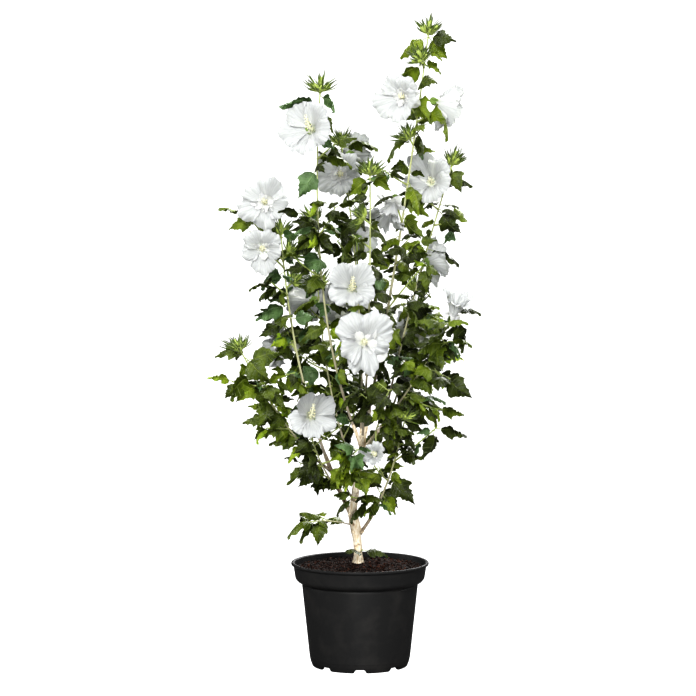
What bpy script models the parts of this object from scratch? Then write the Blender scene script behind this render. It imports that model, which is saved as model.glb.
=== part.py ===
"""Potted rose of Sharon: a white-flowered hibiscus shrub in a black nursery pot.

Metres, +Z up, the front towards -Y. The origin is at the middle of the pot's flat underside.
Every limb is one curve from a foot through a bend to a tip. Its lower share is a bare bough,
and the rest is the stem of a mass of foliage that grows on by one seeded rule.
"""

import math
import random
from typing import NamedTuple

import bmesh
import bpy
from mathutils import Matrix, Vector
from mathutils.bvhtree import BVHTree
from mathutils.geometry import intersect_point_line
from mathutils.kdtree import KDTree

# Pot: a five litre nursery pot
RIM_RADIUS = 0.1125
POT_HEIGHT = 0.170
LIP_DROP = 0.0045
LIP_WIDTH = 0.0062
COLLAR_TOP_RADIUS = 0.1085
COLLAR_RADIUS = 0.1052
COLLAR_BOTTOM = 0.137
WALL_TOP_RADIUS = 0.0945
WALL_FOOT_RADIUS = 0.0820
BASE_RADIUS = 0.0775
BASE_BEVEL_HEIGHT = 0.014
WALL = 0.0022
FLOOR_HEIGHT = 0.0065
PAD_RADIUS = 0.030
FOOT_COUNT = 8
FOOT_NOTCH = 0.021
FOOT_NOTCH_HEIGHT = 0.0058
FOOT_NOTCH_DEPTH = 0.020
FRONT = math.radians(-90)
POT_STEPS = 40
SHARP_ANGLE = math.radians(35)
WELD = 1e-6

# Soil
GAP = 0.0003
SOIL_EDGE_HEIGHT = 0.162
SOIL_TOP_HEIGHT = 0.1660
SOIL_FLAT_RADIUS = 0.032
SOIL_STEPS = 40

# Trunk: root flare at the foot, waist, then the swelling under the fork
TRUNK_FOOT = (-0.003, 0.012, SOIL_TOP_HEIGHT + GAP)
TRUNK_BEND = (-0.002, 0.011, 0.206)
TRUNK_TIP = (-0.012, 0.004, 0.249)
TRUNK_FLARE = ((0.0, 0.0098), (0.07, 0.0080), (0.20, 0.0068), (0.45, 0.0069), (0.72, 0.0084), (1.0, 0.0080))

BOUGH_STEPS = 10
STEM_STEPS = 7
CARRIED_ON = ("centre", "tall")
SUNK = 0.003
STEM_LEAN = 0.3

# Foliage: sizes of one leaf, one shoot and one cluster
LEAF_WIDTH_SHARE = 0.70
LEAF_BROADEST = 0.44
LEAF_SHORTEST = 0.036
LEAF_LONGEST = 0.062
LEAF_FOLD = 0.10
LEAF_CLEARANCE = 0.0012
LEAF_NECK = 0.16
LEAF_ROOT_STEP = 0.0080
LEAF_TRIES = 4
LEAF_SHRINK = 0.25
LEAF_TURN = 2.0
LEAF_SWAY = 0.5
LEAF_LIFT = 0.75
STEEPEST_DROOP = -1.25
HIGHEST_RISE = 0.20
TIP_LIFT = 0.3
FURTHEST_BACK = -0.75
LEADER_SHORTEST = 0.040
LEADER_LONGEST = 0.060
NODE_STEP = 0.038
FIRST_NODE = 0.30
NODE_JITTER = 0.3
LAST_NODE = 0.97
LAST_ROOT = 0.99
GOLDEN_ANGLE = math.radians(137.5)
TWIG_RADIUS = 0.0014
TWIG_TIP_RADIUS = 0.0009
TWIG_SHORTEST = 0.050
TWIG_LONGEST = 0.095
TWIG_SHRINK = 0.4
TWIG_RISE = (0.2, 0.8)
TWIGS_END = 0.92
TWIG_CLEARANCE = 0.020
CELL_CLEARANCE = 0.0016
SKELETON_STEP = 0.004
CLUSTER_SIZE = 0.022
SIDE_CLUSTER_SIZE = 0.0176
BUD_STALK = 0.012
CLUSTER_SPIKES = 5
CLUSTER_SPIKE = (0.70, 0.72)
CLUSTER_VALLEY = (0.24, 0.22)
PETALS = 5
PETAL_NOTCH = 0.05
PETAL_WAVE = 0.10
BLOOM_STEPS = 2 * PETALS
BLOOM_THICKNESS = 0.0016
CALYX_DROP = 0.0060
CALYX_RADIUS = 0.0048
STALK_RADIUS = 0.0014


class Limb(NamedTuple):
    """One tapering limb, from its foot in its parent to its tip.

    bare is the share of its length that is bough, thick and thin are its radii at foot and tip,
    twigs counts its seeded side twigs, cover the leaves it tries at each node, and seed starts its growth.
    """

    name: str
    parent: str
    foot: tuple
    bend: tuple
    tip: tuple
    thick: float
    thin: float
    bare: float
    twigs: int
    cover: int
    seed: int


class Bloom(NamedTuple):
    """One flower: the limb and the share of it that its stalk leaves, its middle, facing and width."""

    limb: str
    share: float
    middle: tuple
    facing: tuple
    width: float
    depth: float
    double: bool


class Shoot(NamedTuple):
    """A stem or twig of a mass, as points with a radius each."""

    points: list
    radii: list


LIMBS = (
    Limb(
        "centre", "trunk", TRUNK_TIP, (-0.005, 0.000, 0.307), (0.006, 0.002, 0.374),
        thick=0.0066, thin=0.0046, bare=1.0, twigs=0, cover=0, seed=0,
    ),
    Limb(
        "tall", "centre", (0.006, 0.002, 0.374), (0.061, 0.000, 0.642), (0.110, 0.020, 1.024),
        thick=0.0042, thin=0.0016, bare=0.08, twigs=5, cover=2, seed=157,
    ),
    Limb(
        "left", "trunk", (-0.011, 0.005, 0.240), (-0.108, 0.030, 0.423), (-0.129, 0.060, 0.700),
        thick=0.0046, thin=0.0017, bare=0.26, twigs=4, cover=2, seed=12,
    ),
    Limb(
        "far_left", "left", (-0.047, 0.015, 0.317), (-0.110, -0.050, 0.365), (-0.190, -0.078, 0.520),
        thick=0.0030, thin=0.0016, bare=0.20, twigs=5, cover=3, seed=237,
    ),
    Limb(
        "right_low", "trunk", (-0.001, 0.009, 0.214), (0.045, -0.030, 0.275), (0.071, -0.075, 0.410),
        thick=0.0034, thin=0.0016, bare=0.30, twigs=3, cover=2, seed=127,
    ),
    Limb(
        "left_middle", "centre", (0.002, 0.001, 0.360), (-0.087, -0.030, 0.570), (-0.064, -0.045, 0.930),
        thick=0.0034, thin=0.0016, bare=0.08, twigs=5, cover=2, seed=197,
    ),
    Limb(
        "right", "centre", (0.003, 0.001, 0.352), (0.075, -0.040, 0.438), (0.156, -0.075, 0.590),
        thick=0.0034, thin=0.0016, bare=0.28, twigs=5, cover=3, seed=233,
    ),
    Limb(
        "right_upper", "right", (0.038, -0.018, 0.397), (0.073, 0.090, 0.558), (0.152, 0.115, 0.812),
        thick=0.0028, thin=0.0016, bare=0.10, twigs=4, cover=2, seed=84,
    ),
    Limb(
        "back_middle", "centre", (-0.001, 0.001, 0.333), (0.014, 0.090, 0.542), (-0.030, 0.125, 0.845),
        thick=0.0032, thin=0.0016, bare=0.12, twigs=4, cover=2, seed=167,
    ),
    Limb(
        "front_middle", "centre", (0.001, 0.001, 0.342), (0.018, -0.110, 0.524), (0.015, -0.125, 0.800),
        thick=0.0032, thin=0.0016, bare=0.10, twigs=4, cover=2, seed=212,
    ),
    Limb(
        "back_left", "centre", (-0.004, 0.001, 0.304), (-0.058, 0.100, 0.425), (-0.070, 0.170, 0.610),
        thick=0.0030, thin=0.0016, bare=0.16, twigs=5, cover=2, seed=134,
    ),
    Limb(
        "back_right", "centre", (-0.002, 0.001, 0.318), (0.080, 0.110, 0.415), (0.092, 0.175, 0.600),
        thick=0.0030, thin=0.0016, bare=0.16, twigs=5, cover=2, seed=83,
    ),
    Limb(
        "front_low", "centre", (-0.003, 0.001, 0.311), (0.019, -0.070, 0.366), (0.045, -0.150, 0.465),
        thick=0.0028, thin=0.0015, bare=0.20, twigs=4, cover=3, seed=149,
    ),
    Limb(
        "left_low", "left", (-0.031, 0.010, 0.281), (-0.061, -0.040, 0.320), (-0.078, -0.095, 0.385),
        thick=0.0024, thin=0.0015, bare=0.22, twigs=3, cover=3, seed=39,
    ),
    Limb(
        "centre_low", "centre", (-0.008, 0.002, 0.268), (-0.030, -0.045, 0.300), (-0.034, -0.090, 0.362),
        thick=0.0024, thin=0.0015, bare=0.20, twigs=3, cover=3, seed=126,
    ),
    Limb(
        "low_left", "trunk", (-0.010, 0.007, 0.228), (-0.049, -0.012, 0.243), (-0.088, -0.028, 0.238),
        thick=0.0017, thin=0.0013, bare=0.0, twigs=0, cover=1, seed=160,
    ),
    Limb(
        "foot_sprout", "trunk", (-0.003, 0.011, 0.180), (0.000, -0.002, 0.184), (0.004, -0.012, 0.192),
        thick=0.0015, thin=0.0012, bare=0.0, twigs=0, cover=0, seed=116,
    ),
)

# Side twigs that set the crown's outline: limb, share that they leave it at, and tip
TWIGS = (
    ("far_left", 0.80, (-0.205, -0.062, 0.470)),
    ("far_left", 0.50, (-0.150, -0.060, 0.395)),
    ("right_low", 0.72, (0.122, -0.092, 0.400)),
    ("right", 0.66, (0.158, -0.080, 0.470)),
    ("right", 0.45, (0.125, -0.060, 0.425)),
    ("right_upper", 0.80, (0.158, 0.130, 0.720)),
    ("left", 0.92, (-0.186, 0.078, 0.732)),
    ("left", 0.62, (-0.135, 0.062, 0.572)),
    ("back_left", 0.60, (-0.110, 0.185, 0.500)),
    ("back_right", 0.60, (0.150, 0.170, 0.500)),
    ("left_low", 0.55, (-0.098, -0.050, 0.338)),
    ("left_middle", 0.60, (-0.094, -0.020, 0.738)),
    ("left_middle", 0.66, (-0.040, -0.030, 0.748)),
    ("tall", 0.36, (0.104, -0.004, 0.655)),
)

# Tips of the leaves that set the crown's outline, each with its limb
LEADERS = (
    ("tall", (0.153, 0.004, 1.018)),
    ("tall", (0.061, 0.034, 0.990)),
    ("tall", (0.053, 0.026, 0.948)),
    ("tall", (0.142, 0.034, 0.987)),
    ("tall", (0.147, 0.004, 0.857)),
    ("tall", (0.106, -0.026, 0.888)),
    ("tall", (0.040, 0.010, 0.826)),
    ("tall", (0.106, -0.030, 0.830)),
    ("tall", (0.100, -0.012, 0.738)),
    ("tall", (0.112, -0.010, 0.612)),
    ("left_middle", (-0.130, -0.060, 0.914)),
    ("left_middle", (-0.036, -0.070, 0.900)),
    ("left_middle", (-0.098, -0.050, 0.762)),
    ("back_middle", (-0.062, 0.110, 0.806)),
    ("back_middle", (0.030, 0.120, 0.846)),
    ("front_middle", (-0.020, -0.130, 0.770)),
    ("front_middle", (0.046, -0.120, 0.772)),
    ("right_upper", (0.166, 0.086, 0.772)),
    ("right_upper", (0.170, 0.120, 0.698)),
    ("right_upper", (0.166, 0.110, 0.655)),
    ("right", (0.192, -0.070, 0.584)),
    ("right", (0.169, -0.080, 0.519)),
    ("right", (0.176, -0.095, 0.449)),
    ("right_low", (0.171, -0.100, 0.391)),
    ("right_low", (0.103, -0.095, 0.345)),
    ("right_low", (0.088, -0.060, 0.275)),
    ("left", (-0.229, 0.065, 0.749)),
    ("left", (-0.214, 0.060, 0.712)),
    ("left", (-0.172, 0.052, 0.566)),
    ("left", (-0.168, 0.080, 0.612)),
    ("far_left", (-0.231, -0.085, 0.515)),
    ("far_left", (-0.124, -0.070, 0.520)),
    ("far_left", (-0.142, -0.085, 0.472)),
    ("far_left", (-0.212, -0.090, 0.446)),
    ("far_left", (-0.160, -0.068, 0.392)),
    ("left_low", (-0.112, -0.060, 0.300)),
    ("low_left", (-0.120, -0.040, 0.222)),
    ("low_left", (-0.102, -0.008, 0.208)),
    ("low_left", (-0.068, -0.040, 0.204)),
    ("foot_sprout", (-0.022, -0.034, 0.196)),
    ("foot_sprout", (0.046, -0.014, 0.186)),
)

BLOOMS = (
    Bloom("left_middle", 0.90, (-0.086, -0.076, 0.880), (-0.45, -0.85, 0.20), 0.078, 0.30, False),
    Bloom("tall", 0.82, (0.050, -0.008, 0.926), (-0.85, -0.50, 0.10), 0.076, 0.34, True),
    Bloom("tall", 0.86, (0.146, 0.052, 0.904), (0.72, 0.45, -0.38), 0.066, 0.55, False),
    Bloom("right_upper", 0.90, (0.108, 0.062, 0.786), (-0.40, -0.82, -0.25), 0.084, 0.34, True),
    Bloom("left", 0.99, (-0.158, 0.028, 0.757), (-0.20, -0.94, 0.22), 0.080, 0.30, True),
    Bloom("left", 0.90, (-0.158, -0.004, 0.684), (0.05, -0.97, -0.10), 0.070, 0.30, True),
    Bloom("back_middle", 0.86, (-0.032, 0.075, 0.800), (0.05, -0.95, 0.15), 0.070, 0.30, True),
    Bloom("back_middle", 0.96, (-0.006, 0.158, 0.838), (0.42, 0.80, 0.30), 0.060, 0.45, False),
    Bloom("tall", 0.58, (0.043, -0.018, 0.722), (-0.30, -0.35, -0.88), 0.062, 0.75, True),
    Bloom("back_middle", 0.58, (0.010, 0.125, 0.682), (0.45, 0.60, -0.35), 0.056, 0.50, False),
    Bloom("front_middle", 0.56, (-0.012, -0.142, 0.636), (0.05, -0.95, -0.15), 0.080, 0.34, False),
    Bloom("front_middle", 0.40, (0.007, -0.154, 0.545), (0.05, -0.98, -0.08), 0.098, 0.30, True),
    Bloom("left_low", 0.95, (-0.077, -0.122, 0.412), (0.12, -0.96, -0.16), 0.082, 0.36, False),
    Bloom("right", 0.99, (0.157, -0.078, 0.606), (0.30, -0.30, 0.90), 0.050, 0.85, True),
    Bloom("front_low", 0.60, (0.018, -0.110, 0.360), (-0.30, -0.88, 0.20), 0.038, 0.60, True),
    Bloom("back_left", 0.95, (-0.085, 0.200, 0.588), (-0.40, 0.88, 0.15), 0.082, 0.30, False),
    Bloom("back_right", 0.80, (0.100, 0.196, 0.520), (0.35, 0.92, 0.05), 0.086, 0.32, True),
    Bloom("back_middle", 0.50, (-0.020, 0.120, 0.575), (-0.35, 0.90, 0.10), 0.076, 0.34, True),
    Bloom("right_upper", 0.62, (0.128, 0.110, 0.655), (0.85, 0.45, 0.10), 0.074, 0.34, False),
    Bloom("left", 0.66, (-0.142, 0.086, 0.520), (-0.80, 0.55, 0.05), 0.078, 0.34, True),
)

# Bud clusters below the limbs' own tips: limb, share of it, and the way they lean
BUD_CLUSTERS = (
    ("tall", 0.93, (-0.3, -0.5, 0.8)),
    ("tall", 0.76, (-0.5, -0.2, 0.8)),
    ("left", 0.93, (0.9, 0.2, 0.6)),
    ("left", 0.84, (0.8, -0.2, 0.7)),
    ("left_middle", 0.68, (-0.5, 0.3, 0.8)),
    ("front_middle", 0.86, (-0.8, -0.2, 0.6)),
    ("back_right", 0.90, (0.5, 0.5, 0.8)),
)
TIP_CLUSTERS = (
    "tall", "left", "far_left", "right_low", "left_middle", "right_upper", "back_middle", "front_middle",
    "back_left", "back_right",
)

PALETTE = {
    "pot": ((0.012, 0.012, 0.012), 0.42),
    "soil": ((0.030, 0.014, 0.009), 0.95),
    "bark": ((0.62, 0.50, 0.35), 0.80),
    "foliage": ((0.075, 0.150, 0.022), 0.55),
}


def clear_scene():
    for item in list(bpy.data.objects):
        bpy.data.objects.remove(item, do_unlink=True)


def new_collection(name):
    collection = bpy.data.collections.new(name)
    bpy.context.scene.collection.children.link(collection)
    return collection


def new_material(name):
    colour, roughness = PALETTE[name]
    material = bpy.data.materials.new(name)
    material.use_nodes = True
    shader = material.node_tree.nodes["Principled BSDF"]
    shader.inputs["Base Color"].default_value = (*colour, 1.0)
    shader.inputs["Roughness"].default_value = roughness
    shader.inputs["Metallic"].default_value = 0.0
    return material


def add_object(name, mesh, collection, material=None, smooth=False):
    item = bpy.data.objects.new(name, mesh)
    collection.objects.link(item)
    if material is not None:
        mesh.materials.clear()
        mesh.materials.append(material)
    if smooth:
        mesh.shade_smooth()
        mesh.set_sharp_from_angle(angle=SHARP_ANGLE)
    return item


def mesh_from(bm, name):
    """Turn a bmesh into a mesh with its faces pointing out."""
    bmesh.ops.recalc_face_normals(bm, faces=bm.faces)
    mesh = bpy.data.meshes.new(name)
    bm.to_mesh(mesh)
    bm.free()
    return mesh


def turned(name, profile, steps, collection, material=None):
    """Turn a profile of (radius, height) points, from the axis round to the axis, about Z."""
    bm = bmesh.new()
    points = [bm.verts.new((radius, 0.0, height)) for radius, height in profile]
    edges = [bm.edges.new(pair) for pair in zip(points, points[1:])]
    bmesh.ops.spin(
        bm, geom=points + edges, cent=(0, 0, 0), axis=(0, 0, 1), angle=2 * math.pi, steps=steps, use_merge=True
    )
    bmesh.ops.remove_doubles(bm, verts=bm.verts, dist=WELD)
    return add_object(name, mesh_from(bm, name), collection, material, smooth=True)


def cut_by(name, item, other):
    """Cut item by other, which stays hidden as a cutter."""
    other.hide_render = True
    other.display_type = "WIRE"
    step = item.modifiers.new(name, "BOOLEAN")
    step.operation = "DIFFERENCE"
    step.object = other


def make_pot(parts, cutters, material):
    """The moulded pot: rolled lip, collar, tapering wall, and a foot ring with open notches."""
    inner = RIM_RADIUS - LIP_WIDTH
    profile = (
        (0.0, 0.0),
        (PAD_RADIUS, 0.0),
        (PAD_RADIUS + 0.002, FLOOR_HEIGHT - 0.002),
        (BASE_RADIUS - 0.0050, FLOOR_HEIGHT - 0.002),
        (BASE_RADIUS - 0.0030, 0.0),
        (BASE_RADIUS, 0.0),
        (BASE_RADIUS + 0.0030, BASE_BEVEL_HEIGHT - 0.006),
        (WALL_FOOT_RADIUS, BASE_BEVEL_HEIGHT),
        (WALL_TOP_RADIUS, COLLAR_BOTTOM - 0.004),
        (WALL_TOP_RADIUS + 0.0020, COLLAR_BOTTOM),
        (COLLAR_RADIUS - 0.0040, COLLAR_BOTTOM + 0.0015),
        (COLLAR_RADIUS, COLLAR_BOTTOM + 0.0060),
        (COLLAR_TOP_RADIUS, POT_HEIGHT - LIP_DROP - 0.0010),
        (RIM_RADIUS - 0.0008, POT_HEIGHT - LIP_DROP),
        (RIM_RADIUS, POT_HEIGHT - 0.0020),
        (RIM_RADIUS - 0.0014, POT_HEIGHT),
        (inner, POT_HEIGHT - 0.0008),
        (COLLAR_RADIUS - WALL, COLLAR_BOTTOM + 0.0075),
        (WALL_TOP_RADIUS - WALL, COLLAR_BOTTOM + 0.0010),
        (WALL_FOOT_RADIUS - WALL, BASE_BEVEL_HEIGHT + 0.002),
        (BASE_RADIUS - WALL, FLOOR_HEIGHT),
        (0.0, FLOOR_HEIGHT),
    )
    pot = turned("pot", profile, POT_STEPS, parts, material)
    for index in range(FOOT_COUNT):
        bm = bmesh.new()
        bmesh.ops.create_cube(bm, size=1.0)
        bmesh.ops.scale(bm, vec=(FOOT_NOTCH_DEPTH, FOOT_NOTCH, 2 * FOOT_NOTCH_HEIGHT), verts=bm.verts)
        bmesh.ops.translate(bm, vec=(BASE_RADIUS, 0, 0), verts=bm.verts)
        turn = FRONT + 2 * math.pi * index / FOOT_COUNT
        bmesh.ops.transform(bm, matrix=Matrix.Rotation(turn, 4, "Z"), verts=bm.verts)
        notch = add_object(f"notch_{index}", mesh_from(bm, "notch"), cutters)
        cut_by("notch", pot, notch)
    return pot


def make_soil(parts, material):
    """Compost that fills the pot and mounds a little towards the trunk."""
    slack = WALL + GAP
    profile = (
        (0.0, FLOOR_HEIGHT + GAP),
        (BASE_RADIUS - slack - 0.0005, FLOOR_HEIGHT + GAP),
        (WALL_FOOT_RADIUS - slack - 0.0003, BASE_BEVEL_HEIGHT + 0.0025),
        (WALL_TOP_RADIUS - slack - 0.0002, COLLAR_BOTTOM + 0.0015),
        (COLLAR_RADIUS - slack - 0.0002, COLLAR_BOTTOM + 0.0080),
        (COLLAR_RADIUS - slack, SOIL_EDGE_HEIGHT),
        (SOIL_FLAT_RADIUS, SOIL_TOP_HEIGHT),
        (0.0, SOIL_TOP_HEIGHT),
    )
    return turned("soil", profile, SOIL_STEPS, parts, material)


def along(limb, share):
    """The point at a share of a limb's curve."""
    foot, bend, tip = (Vector(place) for place in (limb.foot, limb.bend, limb.tip))
    rest = 1.0 - share
    return foot * rest * rest + bend * (2 * share * rest) + tip * (share * share)


def heading(limb, share):
    """The direction of a limb's curve at a share."""
    foot, bend, tip = (Vector(place) for place in (limb.foot, limb.bend, limb.tip))
    return ((bend - foot) * (1.0 - share) + (tip - bend) * share).normalized()


def girth(limb, share):
    return limb.thick + (limb.thin - limb.thick) * share


def limb_run(limb, start, end, steps):
    """Points and radii of a limb between two shares."""
    shares = [start + (end - start) * index / steps for index in range(steps + 1)]
    return [along(limb, share) for share in shares], [girth(limb, share) for share in shares]


def triangle_outline():
    """A three-cornered outline of unit radius, for the section of a twig."""
    outline = bpy.data.curves.new("section", "CURVE")
    outline.dimensions = "2D"
    spline = outline.splines.new("POLY")
    spline.points.add(2)
    for index, corner in enumerate(spline.points):
        turn = -2 * math.pi * index / 3
        corner.co = (math.cos(turn), math.sin(turn), 0.0, 1.0)
    spline.use_cyclic_u = True
    return bpy.data.objects.new("section", outline)


def tube_mesh(name, points, radii, roundness):
    """A filled curve through points with a radius each, as one closed mesh. Roundness 0 is three-sided."""
    curve = bpy.data.curves.new(name, "CURVE")
    curve.dimensions = "3D"
    section = None
    if roundness:
        curve.bevel_depth = 1.0
        curve.bevel_resolution = roundness
    else:
        section = triangle_outline()
        curve.bevel_mode = "OBJECT"
        curve.bevel_object = section
    curve.use_fill_caps = True
    spline = curve.splines.new("POLY")
    spline.points.add(len(points) - 1)
    for place, point, radius in zip(spline.points, points, radii):
        place.co = (*point, 1.0)
        place.radius = radius
    holder = bpy.data.objects.new(name, curve)
    bpy.context.scene.collection.objects.link(holder)
    depsgraph = bpy.context.evaluated_depsgraph_get()
    mesh = bpy.data.meshes.new_from_object(holder.evaluated_get(depsgraph))
    bpy.data.objects.remove(holder, do_unlink=True)
    bpy.data.curves.remove(curve)
    if section:
        bpy.data.curves.remove(section.data)
    bm = bmesh.new()
    bm.from_mesh(mesh)
    bpy.data.meshes.remove(mesh)
    bmesh.ops.remove_doubles(bm, verts=bm.verts, dist=WELD)
    return mesh_from(bm, name)


def trunk_run(extra=0.0):
    """The trunk's points and radii, from its flat foot on the soil to the fork."""
    trunk = Limb(
        "trunk", "", TRUNK_FOOT, TRUNK_BEND, TRUNK_TIP, thick=0, thin=0, bare=1.0, twigs=0, cover=0, seed=0,
    )
    points, radii = [], []
    for (share, radius), (next_share, next_radius) in zip(TRUNK_FLARE, TRUNK_FLARE[1:]):
        for step in range(2):
            blend = step / 2
            points.append(along(trunk, share + (next_share - share) * blend))
            radii.append(radius + (next_radius - radius) * blend + extra)
    points.append(along(trunk, 1.0) + heading(trunk, 1.0) * extra)
    radii.append(TRUNK_FLARE[-1][1] + extra)
    points[1] = Vector((points[0].x, points[0].y, points[1].z))
    return points, radii


def bough_run(limb, extra=0.0):
    """The bare share of a limb. A bough that carries on its parent starts inside it, to be cut at its end."""
    steps = max(3, round(limb.bare * BOUGH_STEPS))
    points, radii = limb_run(limb, 0.0, limb.bare, steps)
    if limb.name in CARRIED_ON:
        points[0] = points[0] - heading(limb, 0.0) * SUNK
    points[-1] = points[-1] + heading(limb, limb.bare) * extra
    return points, [radius + extra for radius in radii]


def make_wood(parts, cutters, material):
    """The trunk and the boughs, each cut clear of what it springs from."""
    points, radii = trunk_run()
    trunk = add_object("trunk", tube_mesh("trunk", points, radii, 3), parts, material, smooth=True)
    runs = {"trunk": trunk_run(GAP)}
    made = {"trunk": trunk}
    for limb in LIMBS:
        if limb.bare == 0.0:
            continue
        name = f"bough_{limb.name}"
        points, radii = bough_run(limb)
        bough = add_object(name, tube_mesh(name, points, radii, 1), parts, material, smooth=True)
        for other in near_the_foot(limb):
            cutter = add_object(f"{name}_clear_of_{other}", clear_mesh(*runs[other]), cutters)
            cut_by("clear", bough, cutter)
        runs[limb.name] = bough_run(limb, GAP)
        made[limb.name] = bough
    return made


def clear_mesh(points, radii):
    """An eight-sided cutter whose flats, and not only its corners, keep clear of a limb."""
    swell = 1.0 / math.cos(math.pi / 8)
    return tube_mesh("clear", points, [radius * swell for radius in radii], 2)


def near_the_foot(limb):
    """The limbs that a bough's foot is cut clear of."""
    if limb.parent == "trunk" and limb.name not in CARRIED_ON:
        return ("trunk", "centre")
    return (limb.parent,)


def body_corners(item):
    """World corners and faces of an object as it is evaluated."""
    depsgraph = bpy.context.evaluated_depsgraph_get()
    shape = item.evaluated_get(depsgraph)
    mesh = shape.to_mesh()
    corners = [item.matrix_world @ vertex.co for vertex in mesh.vertices]
    faces = [tuple(face.vertices) for face in mesh.polygons]
    shape.to_mesh_clear()
    return corners, faces


def joined_tree(bodies):
    """One search tree over several bodies of corners and faces."""
    corners, faces = [], []
    for some_corners, some_faces in bodies:
        base = len(corners)
        corners.extend(some_corners)
        faces.extend(tuple(index + base for index in face) for face in some_faces)
    return BVHTree.FromPolygons(corners, faces)


LEAF_FACES = ((0, 2, 1), (0, 1, 3), (0, 3, 2), (1, 2, 3))


def leaf_corners(root, tip, lift, spread=0.0, raised=0.0):
    """Root, tip, left and right of a leaf, a kite folded along its midrib. lift is the way its face looks.

    spread widens the leaf all round, and raised moves it towards its face.
    """
    length = (tip - root).length
    forward = (tip - root) / length
    side = forward.cross(lift).normalized()
    normal = side.cross(forward).normalized()
    half = length * LEAF_WIDTH_SHARE / 2 + spread
    broadest = root + forward * (length * LEAF_BROADEST) - normal * (length * LEAF_FOLD)
    corners = (root, tip + forward * spread, broadest + side * half, broadest - side * half)
    return [corner + normal * raised for corner in corners]


def leaf_guard(root, tip, lift):
    """A leaf with its clearance, as a thick stack of three wider leaves."""
    return [
        leaf_corners(root, tip, lift, LEAF_CLEARANCE, raised)
        for raised in (-LEAF_CLEARANCE, 0.0, LEAF_CLEARANCE)
    ]


def leaf_soup(leaves):
    """Corners and faces of several leaves as one body."""
    corners = [corner for leaf in leaves for corner in leaf]
    faces = [
        tuple(index + base for index in face)
        for base in range(0, len(corners), 4)
        for face in LEAF_FACES
    ]
    return corners, faces


def leaf_mesh(corners):
    """Shape a three-sided cone into a leaf."""
    bm = bmesh.new()
    bmesh.ops.create_cone(bm, cap_ends=True, segments=3, radius1=1.0, radius2=0.0, depth=1.0)
    bmesh.ops.remove_doubles(bm, verts=bm.verts, dist=WELD)
    for vertex, corner in zip(bm.verts, corners, strict=True):
        vertex.co = corner
    return mesh_from(bm, "leaf")


def twig_mesh(start, end, thick, thin):
    """A three-sided twig or stalk, with its foot at start."""
    run = end - start
    bm = bmesh.new()
    bmesh.ops.create_cone(
        bm, cap_ends=True, segments=3, radius1=thick, radius2=thin, depth=run.length,
        matrix=Matrix.Translation((start + end) / 2) @ run.to_track_quat("Z", "Y").to_matrix().to_4x4(),
    )
    return mesh_from(bm, "twig")


def cluster_mesh(place, way, size):
    """A cluster of buds and bracts as one star: spikes that spread round a taller middle."""
    bm = bmesh.new()
    bmesh.ops.create_uvsphere(bm, u_segments=2 * CLUSTER_SPIKES, v_segments=2, radius=1.0)
    for vertex in bm.verts:
        if abs(vertex.co.z) > 0.5:
            vertex.co.z = 1.0 if vertex.co.z > 0.0 else -0.2
            continue
        turn = math.atan2(vertex.co.y, vertex.co.x)
        spike = math.cos(CLUSTER_SPIKES * turn) > 0.0
        reach, height = CLUSTER_SPIKE if spike else CLUSTER_VALLEY
        vertex.co = (reach * math.cos(turn), reach * math.sin(turn), height)
    bmesh.ops.scale(bm, vec=(size, size, size), verts=bm.verts)
    turn = way.to_track_quat("Z", "Y").to_matrix().to_4x4()
    bmesh.ops.transform(bm, matrix=Matrix.Translation(place) @ turn, verts=bm.verts)
    return mesh_from(bm, "cluster")


def bloom_mesh(bloom):
    """A funnel of five broad petals, filled further where inner petals crowd its throat."""
    radius = bloom.width / 2
    deep = bloom.width * bloom.depth
    throat = -deep * (0.05 if bloom.double else 0.70)
    profile = (
        (0.0, -deep - CALYX_DROP),
        (CALYX_RADIUS, -deep),
        (radius, 0.0),
        (radius * 0.62, -deep * 0.38 + BLOOM_THICKNESS),
        (0.0, throat),
    )
    bm = bmesh.new()
    points = [bm.verts.new((distance, 0.0, height)) for distance, height in profile]
    edges = [bm.edges.new(pair) for pair in zip(points, points[1:])]
    bmesh.ops.spin(
        bm, geom=points + edges, cent=(0, 0, 0), axis=(0, 0, 1), angle=2 * math.pi, steps=BLOOM_STEPS,
        use_merge=True,
    )
    bmesh.ops.remove_doubles(bm, verts=bm.verts, dist=WELD)
    for vertex in bm.verts:
        distance = math.hypot(vertex.co.x, vertex.co.y)
        lobe = math.cos(PETALS * math.atan2(vertex.co.y, vertex.co.x))
        vertex.co.x *= 1.0 - PETAL_NOTCH * (1.0 - lobe)
        vertex.co.y *= 1.0 - PETAL_NOTCH * (1.0 - lobe)
        vertex.co.z += distance * PETAL_WAVE * lobe
    facing = Vector(bloom.facing).normalized()
    place = Matrix.Translation(bloom.middle) @ facing.to_track_quat("Z", "Y").to_matrix().to_4x4()
    bmesh.ops.transform(bm, matrix=place, verts=bm.verts)
    return mesh_from(bm, "bloom")


def calyx_point(bloom):
    """Where a flower's stalk ends, just inside the bottom of its funnel."""
    facing = Vector(bloom.facing).normalized()
    return Vector(bloom.middle) - facing * (bloom.width * bloom.depth)


def stem_start(limb):
    """The share of a limb where the stem of its mass begins, a gap beyond its bough or the trunk."""
    if limb.bare > 0.0:
        return limb.bare
    share = 0.0
    points, radii = trunk_run()
    while True:
        place = along(limb, share)
        rings = zip(dense(points), dense_values(radii))
        clear = min((place - point).length - radius for point, radius in rings)
        if clear > GAP + limb.thick * STEM_LEAN:
            return share
        share += 0.002


def dense(points):
    """Points with nine more between each pair."""
    return [a.lerp(b, step / 10) for a, b in zip(points, points[1:]) for step in range(10)]


def dense_values(values):
    return [a + (b - a) * step / 10 for a, b in zip(values, values[1:]) for step in range(10)]


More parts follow.
